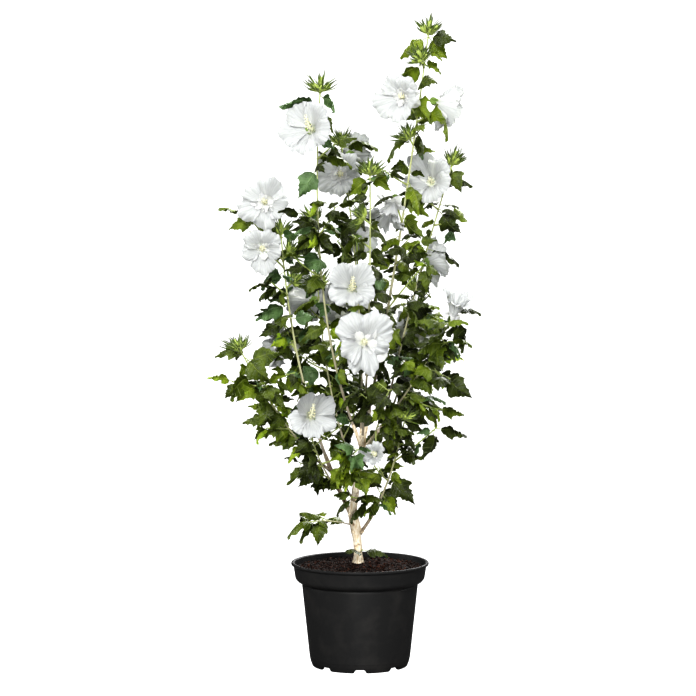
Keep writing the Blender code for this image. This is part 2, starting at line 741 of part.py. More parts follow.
def main_shoot(limb):
    """The stem of a limb's mass, from a gap beyond its bough to the limb's tip."""
    start = stem_start(limb)
    steps = max(3, round((1.0 - start) * STEM_STEPS))
    points, radii = limb_run(limb, start, 1.0, steps)
    if limb.bare > 0.0:
        points[0] = points[0] + heading(limb, start) * GAP
    return Shoot(points, radii)


def twig_shoot(start, tip):
    return Shoot([start, tip], [TWIG_RADIUS, TWIG_TIP_RADIUS])


def skeleton_points(shoot):
    """Points a few millimetres apart along a shoot."""
    found = []
    for start, end in zip(shoot.points, shoot.points[1:]):
        count = max(1, math.ceil((end - start).length / SKELETON_STEP))
        found.extend(start.lerp(end, step / count) for step in range(count))
    found.append(shoot.points[-1])
    return found


def tree_of(points):
    tree = KDTree(len(points))
    for index, point in enumerate(points):
        tree.insert(point, index)
    tree.balance()
    return tree


class Mass:
    """The foliage on one limb, which keeps to the space nearer to its own shoots than to any other's."""

    def __init__(self, limb):
        self.limb = limb
        self.random = random.Random(limb.seed)
        self.shoots = [main_shoot(limb)]
        self.stalks = []
        self.blooms = [bloom for bloom in BLOOMS if bloom.limb == limb.name]
        self.clusters = []
        self.leaves = []
        for name, share, tip in TWIGS:
            if name == limb.name:
                self.shoots.append(twig_shoot(self.on_stem(share), Vector(tip)))
        for bloom in self.blooms:
            self.stalks.append((self.on_stem(bloom.share), calyx_point(bloom)))

    def on_stem(self, share):
        """The point of the mass's own stem that is nearest to a share of its limb."""
        spot = along(self.limb, share)
        stem = self.shoots[0].points
        nearest = []
        for start, end in zip(stem, stem[1:]):
            point, part = intersect_point_line(spot, start, end)
            part = min(1.0, max(0.0, part))
            nearest.append(start.lerp(end, part))
        return min(nearest, key=lambda point: (point - spot).length)

    def skeleton(self):
        found = [point for shoot in self.shoots for point in skeleton_points(shoot)]
        for start, end in self.stalks:
            found.extend(skeleton_points(Shoot([start, end], [STALK_RADIUS, STALK_RADIUS])))
        return found

    def grow_twigs(self, others):
        """Add seeded side twigs that stay well clear of every other mass."""
        start = stem_start(self.limb)
        for index in range(self.limb.twigs):
            place = (index + 0.3 + 0.5 * self.random.random()) / self.limb.twigs
            share = start + (TWIGS_END - start) * place
            turn = index * GOLDEN_ANGLE + self.random.uniform(0, 2 * math.pi)
            length = self.random.uniform(TWIG_SHORTEST, TWIG_LONGEST) * (1.0 - TWIG_SHRINK * share)
            rise = self.random.uniform(*TWIG_RISE)
            foot = self.on_stem(share)
            way = Vector((math.cos(turn), math.sin(turn), rise)).normalized()
            shoot = twig_shoot(foot, foot + way * length)
            if all(others.find(point)[2] > TWIG_CLEARANCE for point in skeleton_points(shoot)):
                self.shoots.append(shoot)

    def grow_buds(self):
        """Bud clusters at the limb's tip and at the places named for it."""
        if self.limb.name in TIP_CLUSTERS:
            self.clusters.append((along(self.limb, 1.0), heading(self.limb, 1.0), CLUSTER_SIZE))
        for name, share, lean in BUD_CLUSTERS:
            if name == self.limb.name:
                foot = self.on_stem(share)
                way = Vector(lean).normalized()
                self.stalks.append((foot, foot + way * BUD_STALK))
                self.clusters.append((foot + way * (BUD_STALK - 0.001), way, SIDE_CLUSTER_SIZE))

    def leaf_places(self):
        """Roots, shoot directions, turns and shares of the leaves on every shoot, by the seeded rule."""
        found = []
        for order, shoot in enumerate(self.shoots):
            length = sum((b - a).length for a, b in zip(shoot.points, shoot.points[1:]))
            count = max(1, round(length / NODE_STEP))
            turn = self.random.uniform(0, 2 * math.pi)
            for index in range(count + 1):
                node = (index + FIRST_NODE + NODE_JITTER * self.random.random()) / (count + 0.5)
                share = min(LAST_NODE, node)
                turn += GOLDEN_ANGLE
                tries = self.limb.cover + (1 if order else 0)
                for extra in range(tries):
                    at = min(LAST_ROOT, share + extra * LEAF_ROOT_STEP / length)
                    place, axis = on_shoot(shoot, at)
                    way = turn + extra * LEAF_TURN + self.random.uniform(-LEAF_SWAY, LEAF_SWAY)
                    found.append((place, axis, way, share))
        return found

    def grow_leaves(self, obstacles, others, shoots):
        """Add leaves by the rule, skipping each that would leave the space or touch another thing."""
        own = tree_of(self.skeleton())
        self.wood = joined_tree(shoots)
        for name, tip in LEADERS:
            if name == self.limb.name:
                root = self.leader_root(Vector(tip))
                self.leaves.append(leaf_corners(root, Vector(tip), self.leaf_lift()))
        for place, axis, turn, share in self.leaf_places():
            for attempt in range(LEAF_TRIES):
                length = self.random.uniform(LEAF_SHORTEST, LEAF_LONGEST) * (1.0 - LEAF_SHRINK * share)
                slope = self.random.uniform(STEEPEST_DROOP, HIGHEST_RISE) + TIP_LIFT * share
                way = Vector((math.cos(turn), math.sin(turn), slope)).normalized()
                lift = self.leaf_lift()
                turn += GOLDEN_ANGLE * 0.5
                tip = place + way * length
                guard = leaf_guard(place, tip, lift)
                if way.dot(axis) > FURTHEST_BACK and self.fits(guard, obstacles, own, others):
                    self.leaves.append(leaf_corners(place, tip, lift))
                    break

    def leaf_lift(self):
        """The way a leaf's face looks: up, and tilted to a seeded side."""
        turn = self.random.uniform(0, 2 * math.pi)
        return Vector((math.cos(turn), math.sin(turn), LEAF_LIFT))

    def leader_root(self, tip):
        """The highest point inside the mass's shoots within a leaf's length of a leading leaf's tip."""
        spots = [spot for shoot in self.shoots for spot in skeleton_points(shoot)[1:-1]]
        near = [spot for spot in spots if LEADER_SHORTEST < (spot - tip).length < LEADER_LONGEST]
        if not near:
            return min(spots, key=lambda spot: (spot - tip).length)
        return max(near, key=lambda spot: spot.z)

    def fits(self, guard, obstacles, own, others):
        """Whether a leaf with clearance round it stays in the space and touches nothing."""
        for spot in leaf_spots(guard[1]):
            if others.find(spot)[2] - own.find(spot)[2] < CELL_CLEARANCE:
                return False
        shape = BVHTree.FromPolygons(*leaf_soup(guard))
        if shape.overlap(obstacles):
            return False
        blade = BVHTree.FromPolygons(*leaf_soup([leaf_blade(leaf) for leaf in guard]))
        if blade.overlap(self.wood):
            return False
        return not self.leaves or not shape.overlap(BVHTree.FromPolygons(*leaf_soup(self.leaves)))


def on_shoot(shoot, share):
    """The point and direction at a share of a shoot's length."""
    spans = [(b - a).length for a, b in zip(shoot.points, shoot.points[1:])]
    left = share * sum(spans)
    for index, span in enumerate(spans):
        if left <= span or index == len(spans) - 1:
            a, b = shoot.points[index], shoot.points[index + 1]
            return a.lerp(b, min(1.0, left / span) * 0.98), (b - a).normalized()
        left -= span
    raise ValueError("a shoot needs two points")


def leaf_spots(corners):
    """Points spread over a leaf, for testing where it lies."""
    root, tip, left, right = corners
    spots = [tip, left, right, left.lerp(right, 0.5)]
    for a, b in ((root, left), (root, right), (tip, left), (tip, right)):
        spots.extend((a.lerp(b, 0.33), a.lerp(b, 0.67)))
    return spots


def leaf_blade(corners):
    """The same leaf without its root, which alone may touch the mass's own shoots."""
    root, tip, left, right = corners
    return [root.lerp(tip, LEAF_NECK), tip, left, right]


def keep_main_body(item):
    """Drop loose scraps and sealed hollows, and keep the one body of a joined mass."""
    bm = bmesh.new()
    bm.from_mesh(item.data)
    left = set(bm.verts)
    groups = []
    while left:
        front = [left.pop()]
        group = set(front)
        while front:
            vertex = front.pop()
            for edge in vertex.link_edges:
                other = edge.other_vert(vertex)
                if other in left:
                    left.discard(other)
                    group.add(other)
                    front.append(other)
        groups.append(group)
    groups.sort(key=len, reverse=True)
    loose = [vertex for group in groups[1:] for vertex in group]
    bmesh.ops.delete(bm, geom=loose, context="VERTS")
    bm.to_mesh(item.data)
    bm.free()


def join_mass(mass, parts, material):
    """Fuse a mass's stem, twigs, leaves, buds and flowers into one body."""
    pieces = bpy.data.collections.new("pieces")
    bpy.context.scene.collection.children.link(pieces)
    stem = mass.shoots[0]
    name = f"mass_{mass.limb.name}"
    item = add_object(name, tube_mesh(name, stem.points, stem.radii, 0), parts, material)
    for shoot in mass.shoots[1:]:
        add_object("twig", tube_mesh("twig", shoot.points, shoot.radii, 0), pieces)
    for start, end in mass.stalks:
        add_object("stalk", twig_mesh(start, end, STALK_RADIUS, STALK_RADIUS), pieces)
    for place, way, size in mass.clusters:
        add_object("cluster", cluster_mesh(place, way, size), pieces)
    for bloom in mass.blooms:
        add_object("bloom", bloom_mesh(bloom), pieces)
    for corners in mass.leaves:
        add_object("leaf", leaf_mesh(corners), pieces)
    union = item.modifiers.new("union", "BOOLEAN")
    union.operation = "UNION"
    union.operand_type = "COLLECTION"
    union.collection = pieces
    depsgraph = bpy.context.evaluated_depsgraph_get()
    joined = bpy.data.meshes.new_from_object(item.evaluated_get(depsgraph))
    item.modifiers.remove(union)
    item.data = joined
    for piece in list(pieces.objects):
        bpy.data.objects.remove(piece, do_unlink=True)
    bpy.data.collections.remove(pieces)
    keep_main_body(item)
    joined.materials.clear()
    joined.materials.append(material)
    return item


def grow_masses(solids, parts, material):
    """Grow every mass beside the others, then fuse each."""
    masses = [Mass(limb) for limb in LIMBS if limb.bare < 1.0]
    for mass in masses:
        mass.grow_twigs(others_tree(mass, masses))
    for mass in masses:
        mass.grow_buds()
    limb_bodies = [body_corners(item) for item in solids]
    bloom_bodies = {mass.limb.name: [mesh_body(bloom_mesh(bloom)) for bloom in mass.blooms] for mass in masses}
    shoot_bodies = {
        mass.limb.name: [
            mesh_body(tube_mesh("shoot", shoot.points, shoot.radii, 0)) for shoot in mass.shoots
        ]
        + [mesh_body(twig_mesh(start, end, STALK_RADIUS, STALK_RADIUS)) for start, end in mass.stalks]
        + [mesh_body(cluster_mesh(*cluster)) for cluster in mass.clusters]
        for mass in masses
    }
    for mass in masses:
        bodies = list(limb_bodies)
        for name, blooms in bloom_bodies.items():
            bodies.extend(blooms)
            if name != mass.limb.name:
                bodies.extend(shoot_bodies[name])
        mass.grow_leaves(joined_tree(bodies), others_tree(mass, masses), shoot_bodies[mass.limb.name])
    for mass in masses:
        join_mass(mass, parts, material)
    return masses


def others_tree(mass, masses):
    return tree_of([point for other in masses if other is not mass for point in other.skeleton()])


def mesh_body(mesh):
    """Corners and faces of a mesh, which is then removed."""
    corners = [vertex.co.copy() for vertex in mesh.vertices]
    faces = [tuple(face.vertices) for face in mesh.polygons]
    bpy.data.meshes.remove(mesh)
    return corners, faces


def build():
    clear_scene()
    parts = new_collection("potted_rose_of_sharon")
    cutters = new_collection("cutters")
    materials = {name: new_material(name) for name in PALETTE}
    pot = make_pot(parts, cutters, materials["pot"])
    soil = make_soil(parts, materials["soil"])
    wood = make_wood(parts, cutters, materials["bark"])
    return grow_masses([pot, soil, *wood.values()], parts, materials["foliage"])


MASSES = build()
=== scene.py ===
"""The finished look of the potted rose of Sharon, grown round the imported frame.

Metres, +Z up, the front towards -Y, and the origin under the middle of the pot. The foliage repeats
the rule that grows the part's own masses, so every stem, leaf and flower is where its solid is, and
then carries it on to finer twigs and younger leaves within the same reach.
"""

import logging
import math
import random
from collections.abc import Callable, Iterable
from dataclasses import dataclass
from enum import Enum
from functools import partial

import bmesh
import bpy
from mathutils import Matrix, Vector, noise
from mathutils.bvhtree import BVHTree
from mathutils.geometry import intersect_point_line
from mathutils.kdtree import KDTree


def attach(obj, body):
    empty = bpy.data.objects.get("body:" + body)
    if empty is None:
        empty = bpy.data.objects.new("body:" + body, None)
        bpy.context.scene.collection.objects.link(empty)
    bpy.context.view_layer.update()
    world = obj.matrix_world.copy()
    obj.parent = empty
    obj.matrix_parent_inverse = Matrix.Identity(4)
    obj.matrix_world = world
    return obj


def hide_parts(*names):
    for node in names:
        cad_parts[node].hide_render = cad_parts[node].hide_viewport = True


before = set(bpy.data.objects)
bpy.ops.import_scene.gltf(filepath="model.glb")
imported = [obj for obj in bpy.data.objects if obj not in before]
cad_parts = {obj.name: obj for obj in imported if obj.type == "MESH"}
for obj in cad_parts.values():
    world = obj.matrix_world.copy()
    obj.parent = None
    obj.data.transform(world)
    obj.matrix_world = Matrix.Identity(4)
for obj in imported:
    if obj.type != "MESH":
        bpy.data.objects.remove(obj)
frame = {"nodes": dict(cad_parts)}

MASSES = tuple(sorted(name for name in frame["nodes"] if name.startswith("mass_")))
LOG = logging.getLogger("rose_of_sharon")
BODY = "root"
UV_MAP = "OFBake"
FULL_TURN = 2 * math.pi
GOLDEN_ANGLE = math.radians(137.5)
WELD = 1e-6
MILLIMETRE = 0.001
# Each shape of leaf has a tile of its own in the map: so many across, and so many up
LEAF_TILES = (4, 3)
PETALS = 5


class Slot(Enum):
    """The record's material slots."""

    POT = "pot"
    COMPOST = "compost"
    BARK = "bark"
    FOLIAGE = "foliage"


class Tint(Enum):
    """The greens that the sprays of leaves are dealt."""

    DEEP = "deep"
    MID = "mid"
    FRESH = "fresh"
    YOUNG = "young"
    SAGE = "sage"


def linear(colour: str) -> tuple[float, float, float, float]:
    """Turn an sRGB hex value into linear red, green, blue and alpha.

    Args:
        colour: Six hex digits after a hash.

    Returns:
        The linear colour, opaque.
    """
    parts = [int(colour[index : index + 2], 16) / 255 for index in (1, 3, 5)]
    values = [part / 12.92 if part <= 0.04045 else ((part + 0.055) / 1.055) ** 2.4 for part in parts]
    return (*values, 1.0)


def wire(tree: bpy.types.NodeTree, node: bpy.types.Node, links: dict) -> None:
    """Feed a node's inputs.

    Args:
        tree: The node tree.
        node: The node.
        links: What feeds each input, by its name or number: an output, or a node for its first output.
    """
    for name, source in links.items():
        output = source.outputs[0] if isinstance(source, bpy.types.Node) else source
        tree.links.new(output, node.inputs[name])


def add_node(
    tree: bpy.types.NodeTree,
    kind: str,
    settings: dict | None = None,
    links: dict | None = None,
    stops: tuple = (),
) -> bpy.types.Node:
    """Add one node to a material, with its settings and the links that reach it.

    Args:
        tree: The material's node tree.
        kind: Blender's name for the node's type, after ShaderNode.
        settings: Values by attribute name, or by the name or number of an input.
        links: What feeds each input, as for wire.
        stops: On a node with a colour ramp, pairs of a place from 0 to 1 and a hex colour.

    Returns:
        The new node.
    """
    node = tree.nodes.new(f"ShaderNode{kind}")
    while stops and len(node.color_ramp.elements) < len(stops):
        node.color_ramp.elements.new(0.5)
    for index, (place, colour) in enumerate(stops):
        node.color_ramp.elements[index].position = place
        node.color_ramp.elements[index].color = linear(colour)
    for name, value in (settings or {}).items():
        if isinstance(name, str) and hasattr(node, name):
            setattr(node, name, value)
        else:
            node.inputs[name].default_value = value
    wire(tree, node, links or {})
    return node


def new_material(
    name: str, **sockets: object
) -> tuple[bpy.types.Material, bpy.types.NodeTree, bpy.types.Node]:
    """Start a material whose one shader is Principled.

    Args:
        name: What the material is.
        sockets: Values for the shader's inputs, with an underscore for each space.

    Returns:
        The material, its node tree and its shader.
    """
    material = bpy.data.materials.new(name)
    material.use_nodes = True
    shader = material.node_tree.nodes["Principled BSDF"]
    for socket, value in sockets.items():
        shader.inputs[socket.replace("_", " ")].default_value = value
    return material, material.node_tree, shader


@dataclass(frozen=True)
class MouldedPolypropylene:
    """Black polypropylene, injection moulded: a satin skin with a fine eggshell grain and faint dust."""

    colour: str = "#2a2a2a"
    dust: str = "#343332"
    grain: float = 0.9 * MILLIMETRE
    dust_patch: float = 28 * MILLIMETRE

    def material(self) -> bpy.types.Material:
        """Make it: the dust lies in patches, which are a little rougher.

        Returns:
            The material.
        """
        material, tree, shader = new_material("moulded_polypropylene", IOR=1.49, Specular_IOR_Level=0.12)
        place = add_node(tree, "TexCoord").outputs["Object"]
        size = {"Scale": 1 / self.dust_patch, "Detail": 4.0}
        patches = add_node(tree, "TexNoise", size, {"Vector": place})
        colour = add_node(tree, "ValToRGB", None, {"Fac": patches}, ((0.45, self.colour), (0.80, self.dust)))
        rough = add_node(tree, "MapRange", {"To Min": 0.44, "To Max": 0.58}, {"Value": patches})
        grain = add_node(tree, "TexNoise", {"Scale": 1 / self.grain, "Detail": 2.0}, {"Vector": place})
        raised = add_node(tree, "Bump", {"Strength": 0.25, "Distance": 0.10 * MILLIMETRE}, {"Height": grain})
        wire(tree, shader, {"Base Color": colour, "Roughness": rough, "Normal": raised})
        return material


@dataclass(frozen=True)
class PottingMix:
    """Peat and composted bark, milled and damp: crumbs from brown-black to rust, with no gloss."""

    name: str
    dark: str
    light: str
    crumb: float = 2.2 * MILLIMETRE

    def material(self) -> bpy.types.Material:
        """Make it: each crumb has its own shade and stands out a little.

        Returns:
            The material.
        """
        material, tree, shader = new_material(self.name, Roughness=0.92, Specular_IOR_Level=0.25)
        place = add_node(tree, "TexCoord").outputs["Object"]
        crumbs = add_node(tree, "TexVoronoi", {"Scale": 1 / self.crumb}, {"Vector": place})
        shade = add_node(tree, "SeparateColor", None, {"Color": crumbs.outputs["Color"]})
        colour = add_node(tree, "ValToRGB", None, {"Fac": shade}, ((0.15, self.dark), (0.95, self.light)))
        raised = add_node(tree, "Bump", {"Strength": 0.6, "Distance": 0.8 * MILLIMETRE}, {"Height": crumbs})
        wire(tree, shader, {"Base Color": colour, "Normal": raised})
        return material


@dataclass(frozen=True)
class SmoothBark:
    """Young hibiscus bark, grown: a pale skin with long fine streaks and brown corky patches."""

    name: str
    pale: str
    streak: str
    cork: str
    streak_width: float = 1.3 * MILLIMETRE
    streak_length: float = 14 * MILLIMETRE
    patch: float = 9 * MILLIMETRE

    def material(self) -> bpy.types.Material:
        """Make it: the streaks are raised and run up the limb, and the cork lies over them.

        Returns:
            The material.
        """
        material, tree, shader = new_material(self.name, Roughness=0.72, Specular_IOR_Level=0.35)
        place = add_node(tree, "TexCoord").outputs["Object"]
        scale = (1 / self.streak_width, 1 / self.streak_width, 1 / self.streak_length)
        drawn = add_node(tree, "Mapping", {"Scale": scale}, {"Vector": place})
        streaks = add_node(tree, "TexNoise", {"Scale": 1.0, "Detail": 5.0}, {"Vector": drawn})
        patches = add_node(tree, "TexNoise", {"Scale": 1 / self.patch, "Detail": 3.0}, {"Vector": place})
        ground = add_node(tree, "ValToRGB", None, {"Fac": streaks}, ((0.40, self.pale), (0.62, self.streak)))
        corky = add_node(tree, "MapRange", {"From Min": 0.58, "From Max": 0.72}, {"Value": patches})
        mixed = add_node(tree, "Mix", {"data_type": "RGBA", 7: linear(self.cork)}, {0: corky, 6: ground})
        raised = add_node(tree, "Bump", {"Strength": 0.7, "Distance": 0.6 * MILLIMETRE}, {"Height": streaks})
        wire(tree, shader, {"Base Color": mixed.outputs[2], "Normal": raised})
        return material


@dataclass(frozen=True)
class GreenShoot:
    """This year's shoot, grown: it ripens from woody buff at the foot to green at the tip, faintly downy."""

    name: str = "green_shoot"
    foot: str = "#988f80"
    middle: str = "#adae88"
    tip: str = "#a6b374"
    scar: str = "#8a7a55"
    fleck: float = 0.035

    def material(self) -> bpy.types.Material:
        """Make it, with flecks of scar, on the shoot's own map: x round it, y from foot to tip.

        Returns:
            The material.
        """
        material, tree, shader = new_material(self.name, Roughness=0.55, Sheen_Weight=0.15)
        spot = add_node(tree, "UVMap", {"uv_map": UV_MAP})
        way = add_node(tree, "SeparateXYZ", None, {"Vector": spot})
        stops = ((0.10, self.foot), (0.50, self.middle), (1.0, self.tip))
        ripe = add_node(tree, "ValToRGB", None, {"Fac": way.outputs["Y"]}, stops)
        size = {"noise_dimensions": "2D", "Scale": 1 / self.fleck, "Detail": 3.0}
        flecks = add_node(tree, "TexNoise", size, {"Vector": spot})
        rub = {"From Min": 0.50, "From Max": 0.75, "To Max": 0.45}
        worn = add_node(tree, "MapRange", rub, {"Value": flecks})
        mixed = add_node(tree, "Mix", {"data_type": "RGBA", 7: linear(self.scar)}, {0: worn, 6: ripe})
        wire(tree, shader, {"Base Color": mixed.outputs[2]})
        return material


@dataclass(frozen=True)
class LeafBlade:
    """A rose of Sharon leaf, grown: a thin waxy skin, quilted between paler veins that lie a little sunk."""

    tint: Tint
    blade: str
    shade: str
    vein: str
    tiles: tuple[int, int] = LEAF_TILES
    side_veins: float = 7.0

    def material(self) -> bpy.types.Material:
        """Make it on the leaf's own map, which has one tile for each shape of leaf.

        Returns:
            The material.
        """
        name = f"leaf_blade_{self.tint.value}"
        material, tree, shader = new_material(name, Roughness=0.42, Specular_IOR_Level=0.38)
        spot = add_node(tree, "UVMap", {"uv_map": UV_MAP})
        tiled = add_node(tree, "VectorMath", {"operation": "MULTIPLY", 1: (*self.tiles, 1.0)}, {0: spot})
        within = add_node(tree, "VectorMath", {"operation": "FRACTION"}, {0: tiled})
        way = add_node(tree, "SeparateXYZ", None, {"Vector": within})
        across = add_node(tree, "Math", {"operation": "SUBTRACT", 1: 0.5}, {0: way})
        aside = add_node(tree, "Math", {"operation": "ABSOLUTE"}, {0: across})
        midrib = add_node(tree, "MapRange", {"From Min": 0.045, "From Max": 0.012}, {"Value": aside})
        half_gap = 0.5 / self.side_veins
        ribs = add_node(tree, "Math", {"operation": "PINGPONG", 1: half_gap}, {0: way.outputs["Y"]})
        side = add_node(tree, "MapRange", {"From Min": 0.016, "From Max": 0.0}, {"Value": ribs})
        veins = add_node(tree, "Math", {"operation": "MAXIMUM"}, {0: midrib, 1: side})
        cells = {"voronoi_dimensions": "2D", "feature": "DISTANCE_TO_EDGE", "Scale": 13.0}
        net = add_node(tree, "TexVoronoi", cells, {"Vector": tiled})
        clouds = {"noise_dimensions": "2D", "Scale": 2.2, "Detail": 3.0}
        mottle = add_node(tree, "TexNoise", clouds, {"Vector": tiled})
        ground = add_node(tree, "ValToRGB", None, {"Fac": mottle}, ((0.34, self.shade), (0.64, self.blade)))
        amount = add_node(tree, "Math", {"operation": "MULTIPLY", 1: 0.34}, {0: veins})
        mixed = add_node(tree, "Mix", {"data_type": "RGBA", 7: linear(self.vein)}, {0: amount, 6: ground})
        quilt = add_node(tree, "Math", {"operation": "SUBTRACT"}, {0: net, 1: veins})
        raised = add_node(tree, "Bump", {"Strength": 0.75, "Distance": 1.1 * MILLIMETRE}, {"Height": quilt})
        wire(tree, shader, {"Base Color": mixed.outputs[2], "Normal": raised})
        return material


@dataclass(frozen=True)
class PetalTissue:
    """A white hibiscus petal, grown: thin crinkled tissue with fan veins, creamy green at its claw."""

    name: str = "petal_tissue"
    white: str = "#b8bab9"
    claw: str = "#bcc0a6"
    vein: str = "#a3a6a5"
    fan_veins: float = 13.0
    glow_depth: float = 8 * MILLIMETRE

    def material(self) -> bpy.types.Material:
        """Make it on the petal's own map: x across it, y from claw to margin.

        Returns:
            The material.
        """
        material, tree, shader = new_material(
            self.name,
            Roughness=0.62,
            Specular_IOR_Level=0.25,
            Sheen_Weight=0.25,
            Subsurface_Weight=0.6,
            Subsurface_Radius=(1.0, 1.0, 0.9),
            Subsurface_Scale=self.glow_depth,
        )
        spot = add_node(tree, "UVMap", {"uv_map": UV_MAP})
        way = add_node(tree, "SeparateXYZ", None, {"Vector": spot})
        stops = ((0.04, self.claw), (0.20, self.white))
        ground = add_node(tree, "ValToRGB", None, {"Fac": way.outputs["Y"]}, stops)
        clouds = {"noise_dimensions": "2D", "Scale": 4.0, "Detail": 3.0}
        wander = add_node(tree, "TexNoise", clouds, {"Vector": spot})
        bent = add_node(tree, "Math", {"operation": "MULTIPLY_ADD", 1: 0.10}, {0: wander, 2: way})
        fan = add_node(tree, "Math", {"operation": "PINGPONG", 1: 0.5 / self.fan_veins}, {0: bent})
        lines = {"From Min": 0.022, "From Max": 0.002, "To Max": 0.4}
        veins = add_node(tree, "MapRange", lines, {"Value": fan})
        mixed = add_node(tree, "Mix", {"data_type": "RGBA", 7: linear(self.vein)}, {0: veins, 6: ground})
        raised = add_node(tree, "Bump", {"Strength": 0.30, "Distance": 0.5 * MILLIMETRE}, {"Height": veins})
        wire(tree, shader, {"Base Color": mixed.outputs[2], "Normal": raised})
        return material


@dataclass(frozen=True)
class SoftTissue:
    """A small plain plant part, grown, such as an anther, a bud or a calyx: matt, with a mealy grain."""

    name: str
    colour: str
    roughness: float
    meal: float = 0.7 * MILLIMETRE

    def material(self) -> bpy.types.Material:
        """Make it.

        Returns:
            The material.
        """
        material, tree, shader = new_material(
            self.name, Base_Color=linear(self.colour), Roughness=self.roughness, Sheen_Weight=0.15
        )
        place = add_node(tree, "TexCoord").outputs["Object"]
        meal = add_node(tree, "TexNoise", {"Scale": 1 / self.meal}, {"Vector": place})
        raised = add_node(tree, "Bump", {"Strength": 0.3, "Distance": 0.3 * MILLIMETRE}, {"Height": meal})
        wire(tree, shader, {"Normal": raised})
        return material


@dataclass(frozen=True)
class PaperSweep:
    """Studio background paper, plain and matt, so bright that it reads as white."""

    colour: str = "#6a6a6a"
    glow: float = 1.0

    def material(self) -> bpy.types.Material:
        """Make it. It glows only for the eye, so the pot's sides don't mirror it.

        Returns:
            The material.
        """
        material, tree, shader = new_material(
            "background_paper",
            Base_Color=linear(self.colour),
            Roughness=0.9,
            Specular_IOR_Level=0.1,
            Emission_Color=linear("#ffffff"),
        )
        seen = add_node(tree, "LightPath")
        glow = add_node(tree, "MapRange", {"To Min": 0.0, "To Max": self.glow}, {"Value": seen})
        wire(tree, shader, {"Emission Strength": glow})
        return material


def mesh_from(bm: bmesh.types.BMesh, name: str) -> bpy.types.Mesh:
    """Turn a bmesh into a mesh and free it.

    Args:
        bm: The bmesh, its faces already pointing the right way.
        name: The mesh's name.

    Returns:
        The mesh.
    """
    mesh = bpy.data.meshes.new(name)
    bm.to_mesh(mesh)
    bm.free()
    return mesh


def mapped_grid(across: int, along: int) -> bmesh.types.BMesh:
    """A square grid from -0.5 to 0.5 with the map that patterns follow.

    Args:
        across: The number of faces along X.
        along: The number of faces along Y.

    Returns:
        The grid.
    """
    bm = bmesh.new()
    bm.loops.layers.uv.new(UV_MAP)
    bmesh.ops.create_grid(bm, x_segments=across, y_segments=along, size=0.5, calc_uvs=True)
    return bm


def in_metres(place: tuple) -> Vector:
    """A place that is given in millimetres."""
    return Vector([number / 1000 for number in place])


def polar(turn: float, high: float = 0.0) -> Vector:
    """The point at distance 1 from the Z axis at a turn about it, so far up."""
    return Vector((math.cos(turn), math.sin(turn), high))


def cylindrical(distance: float, turn: float, high: float) -> tuple[float, float, float]:
    """The point at a distance from the Z axis, a turn about it and a height."""
    return (distance * math.cos(turn), distance * math.sin(turn), high)


def laid(place: Vector, way: Vector) -> Matrix:
    """The matrix that moves a shape to a place and lays its +Z along a way, with +Y as high as it goes."""
    return Matrix.Translation(place) @ way.to_track_quat("Z", "Y").to_matrix().to_4x4()


def smooth_noise(x: float, y: float, z: float) -> float:
    """Noise that changes smoothly from place to place, between -1 and 1."""
    return noise.noise(Vector((x, y, z)))


def corners_of(grid: bmesh.types.BMesh) -> list[tuple[bmesh.types.BMVert, float, float]]:
    """Each corner of a mapped grid, how far across it is, from -1 to 1, and how far along, from 0 to 1."""
    return [(vertex, 2 * vertex.co.x, vertex.co.y + 0.5) for vertex in grid.verts]


class Joined:
    """Many small shapes joined into one piece, added one by one."""

    def __init__(self, name: str, mapped: bool = True) -> None:
        """Start an empty piece.

        Args:
            name: The piece's name.
            mapped: Whether its finish reads its map, which it then keeps.
        """
        self.name = name
        self.mapped = mapped
        self.bm = bmesh.new()
        self.bm.loops.layers.uv.new(UV_MAP)
        self.count = 0

    def add(self, shape: bpy.types.Mesh, place: Matrix | None = None, keep: bool = False) -> None:
        """Add one shape.

        Args:
            shape: The shape's mesh.
            place: Where it goes, or None where it already is there.
            keep: Whether the mesh is needed again.
        """
        mesh = shape.copy() if keep else shape
        if place is not None:
            mesh.transform(place)
        self.bm.from_mesh(mesh)
        bpy.data.meshes.remove(mesh)
        self.count += 1

    def piece(
        self,
        material: bpy.types.Material,
        slot: Slot = Slot.FOLIAGE,
        nodes: Iterable[str] = MASSES,
        smooth: bool = True,
    ) -> None:
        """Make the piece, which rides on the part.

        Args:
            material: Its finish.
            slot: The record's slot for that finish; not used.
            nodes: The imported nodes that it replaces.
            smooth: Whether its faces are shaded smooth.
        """
        mesh = mesh_from(self.bm, self.name)
        while mesh.uv_layers and not self.mapped:
            mesh.uv_layers.remove(mesh.uv_layers[0])
        mesh.materials.append(material)
        for face in mesh.polygons:
            face.use_smooth = smooth
        item = bpy.data.objects.new(self.name, mesh)
        bpy.context.scene.collection.objects.link(item)
        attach(item, BODY)
        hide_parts(*nodes)
        triangles = sum(len(face.vertices) - 2 for face in mesh.polygons)
        LOG.info("%s: %d shapes, %d triangles", self.name, self.count, triangles)


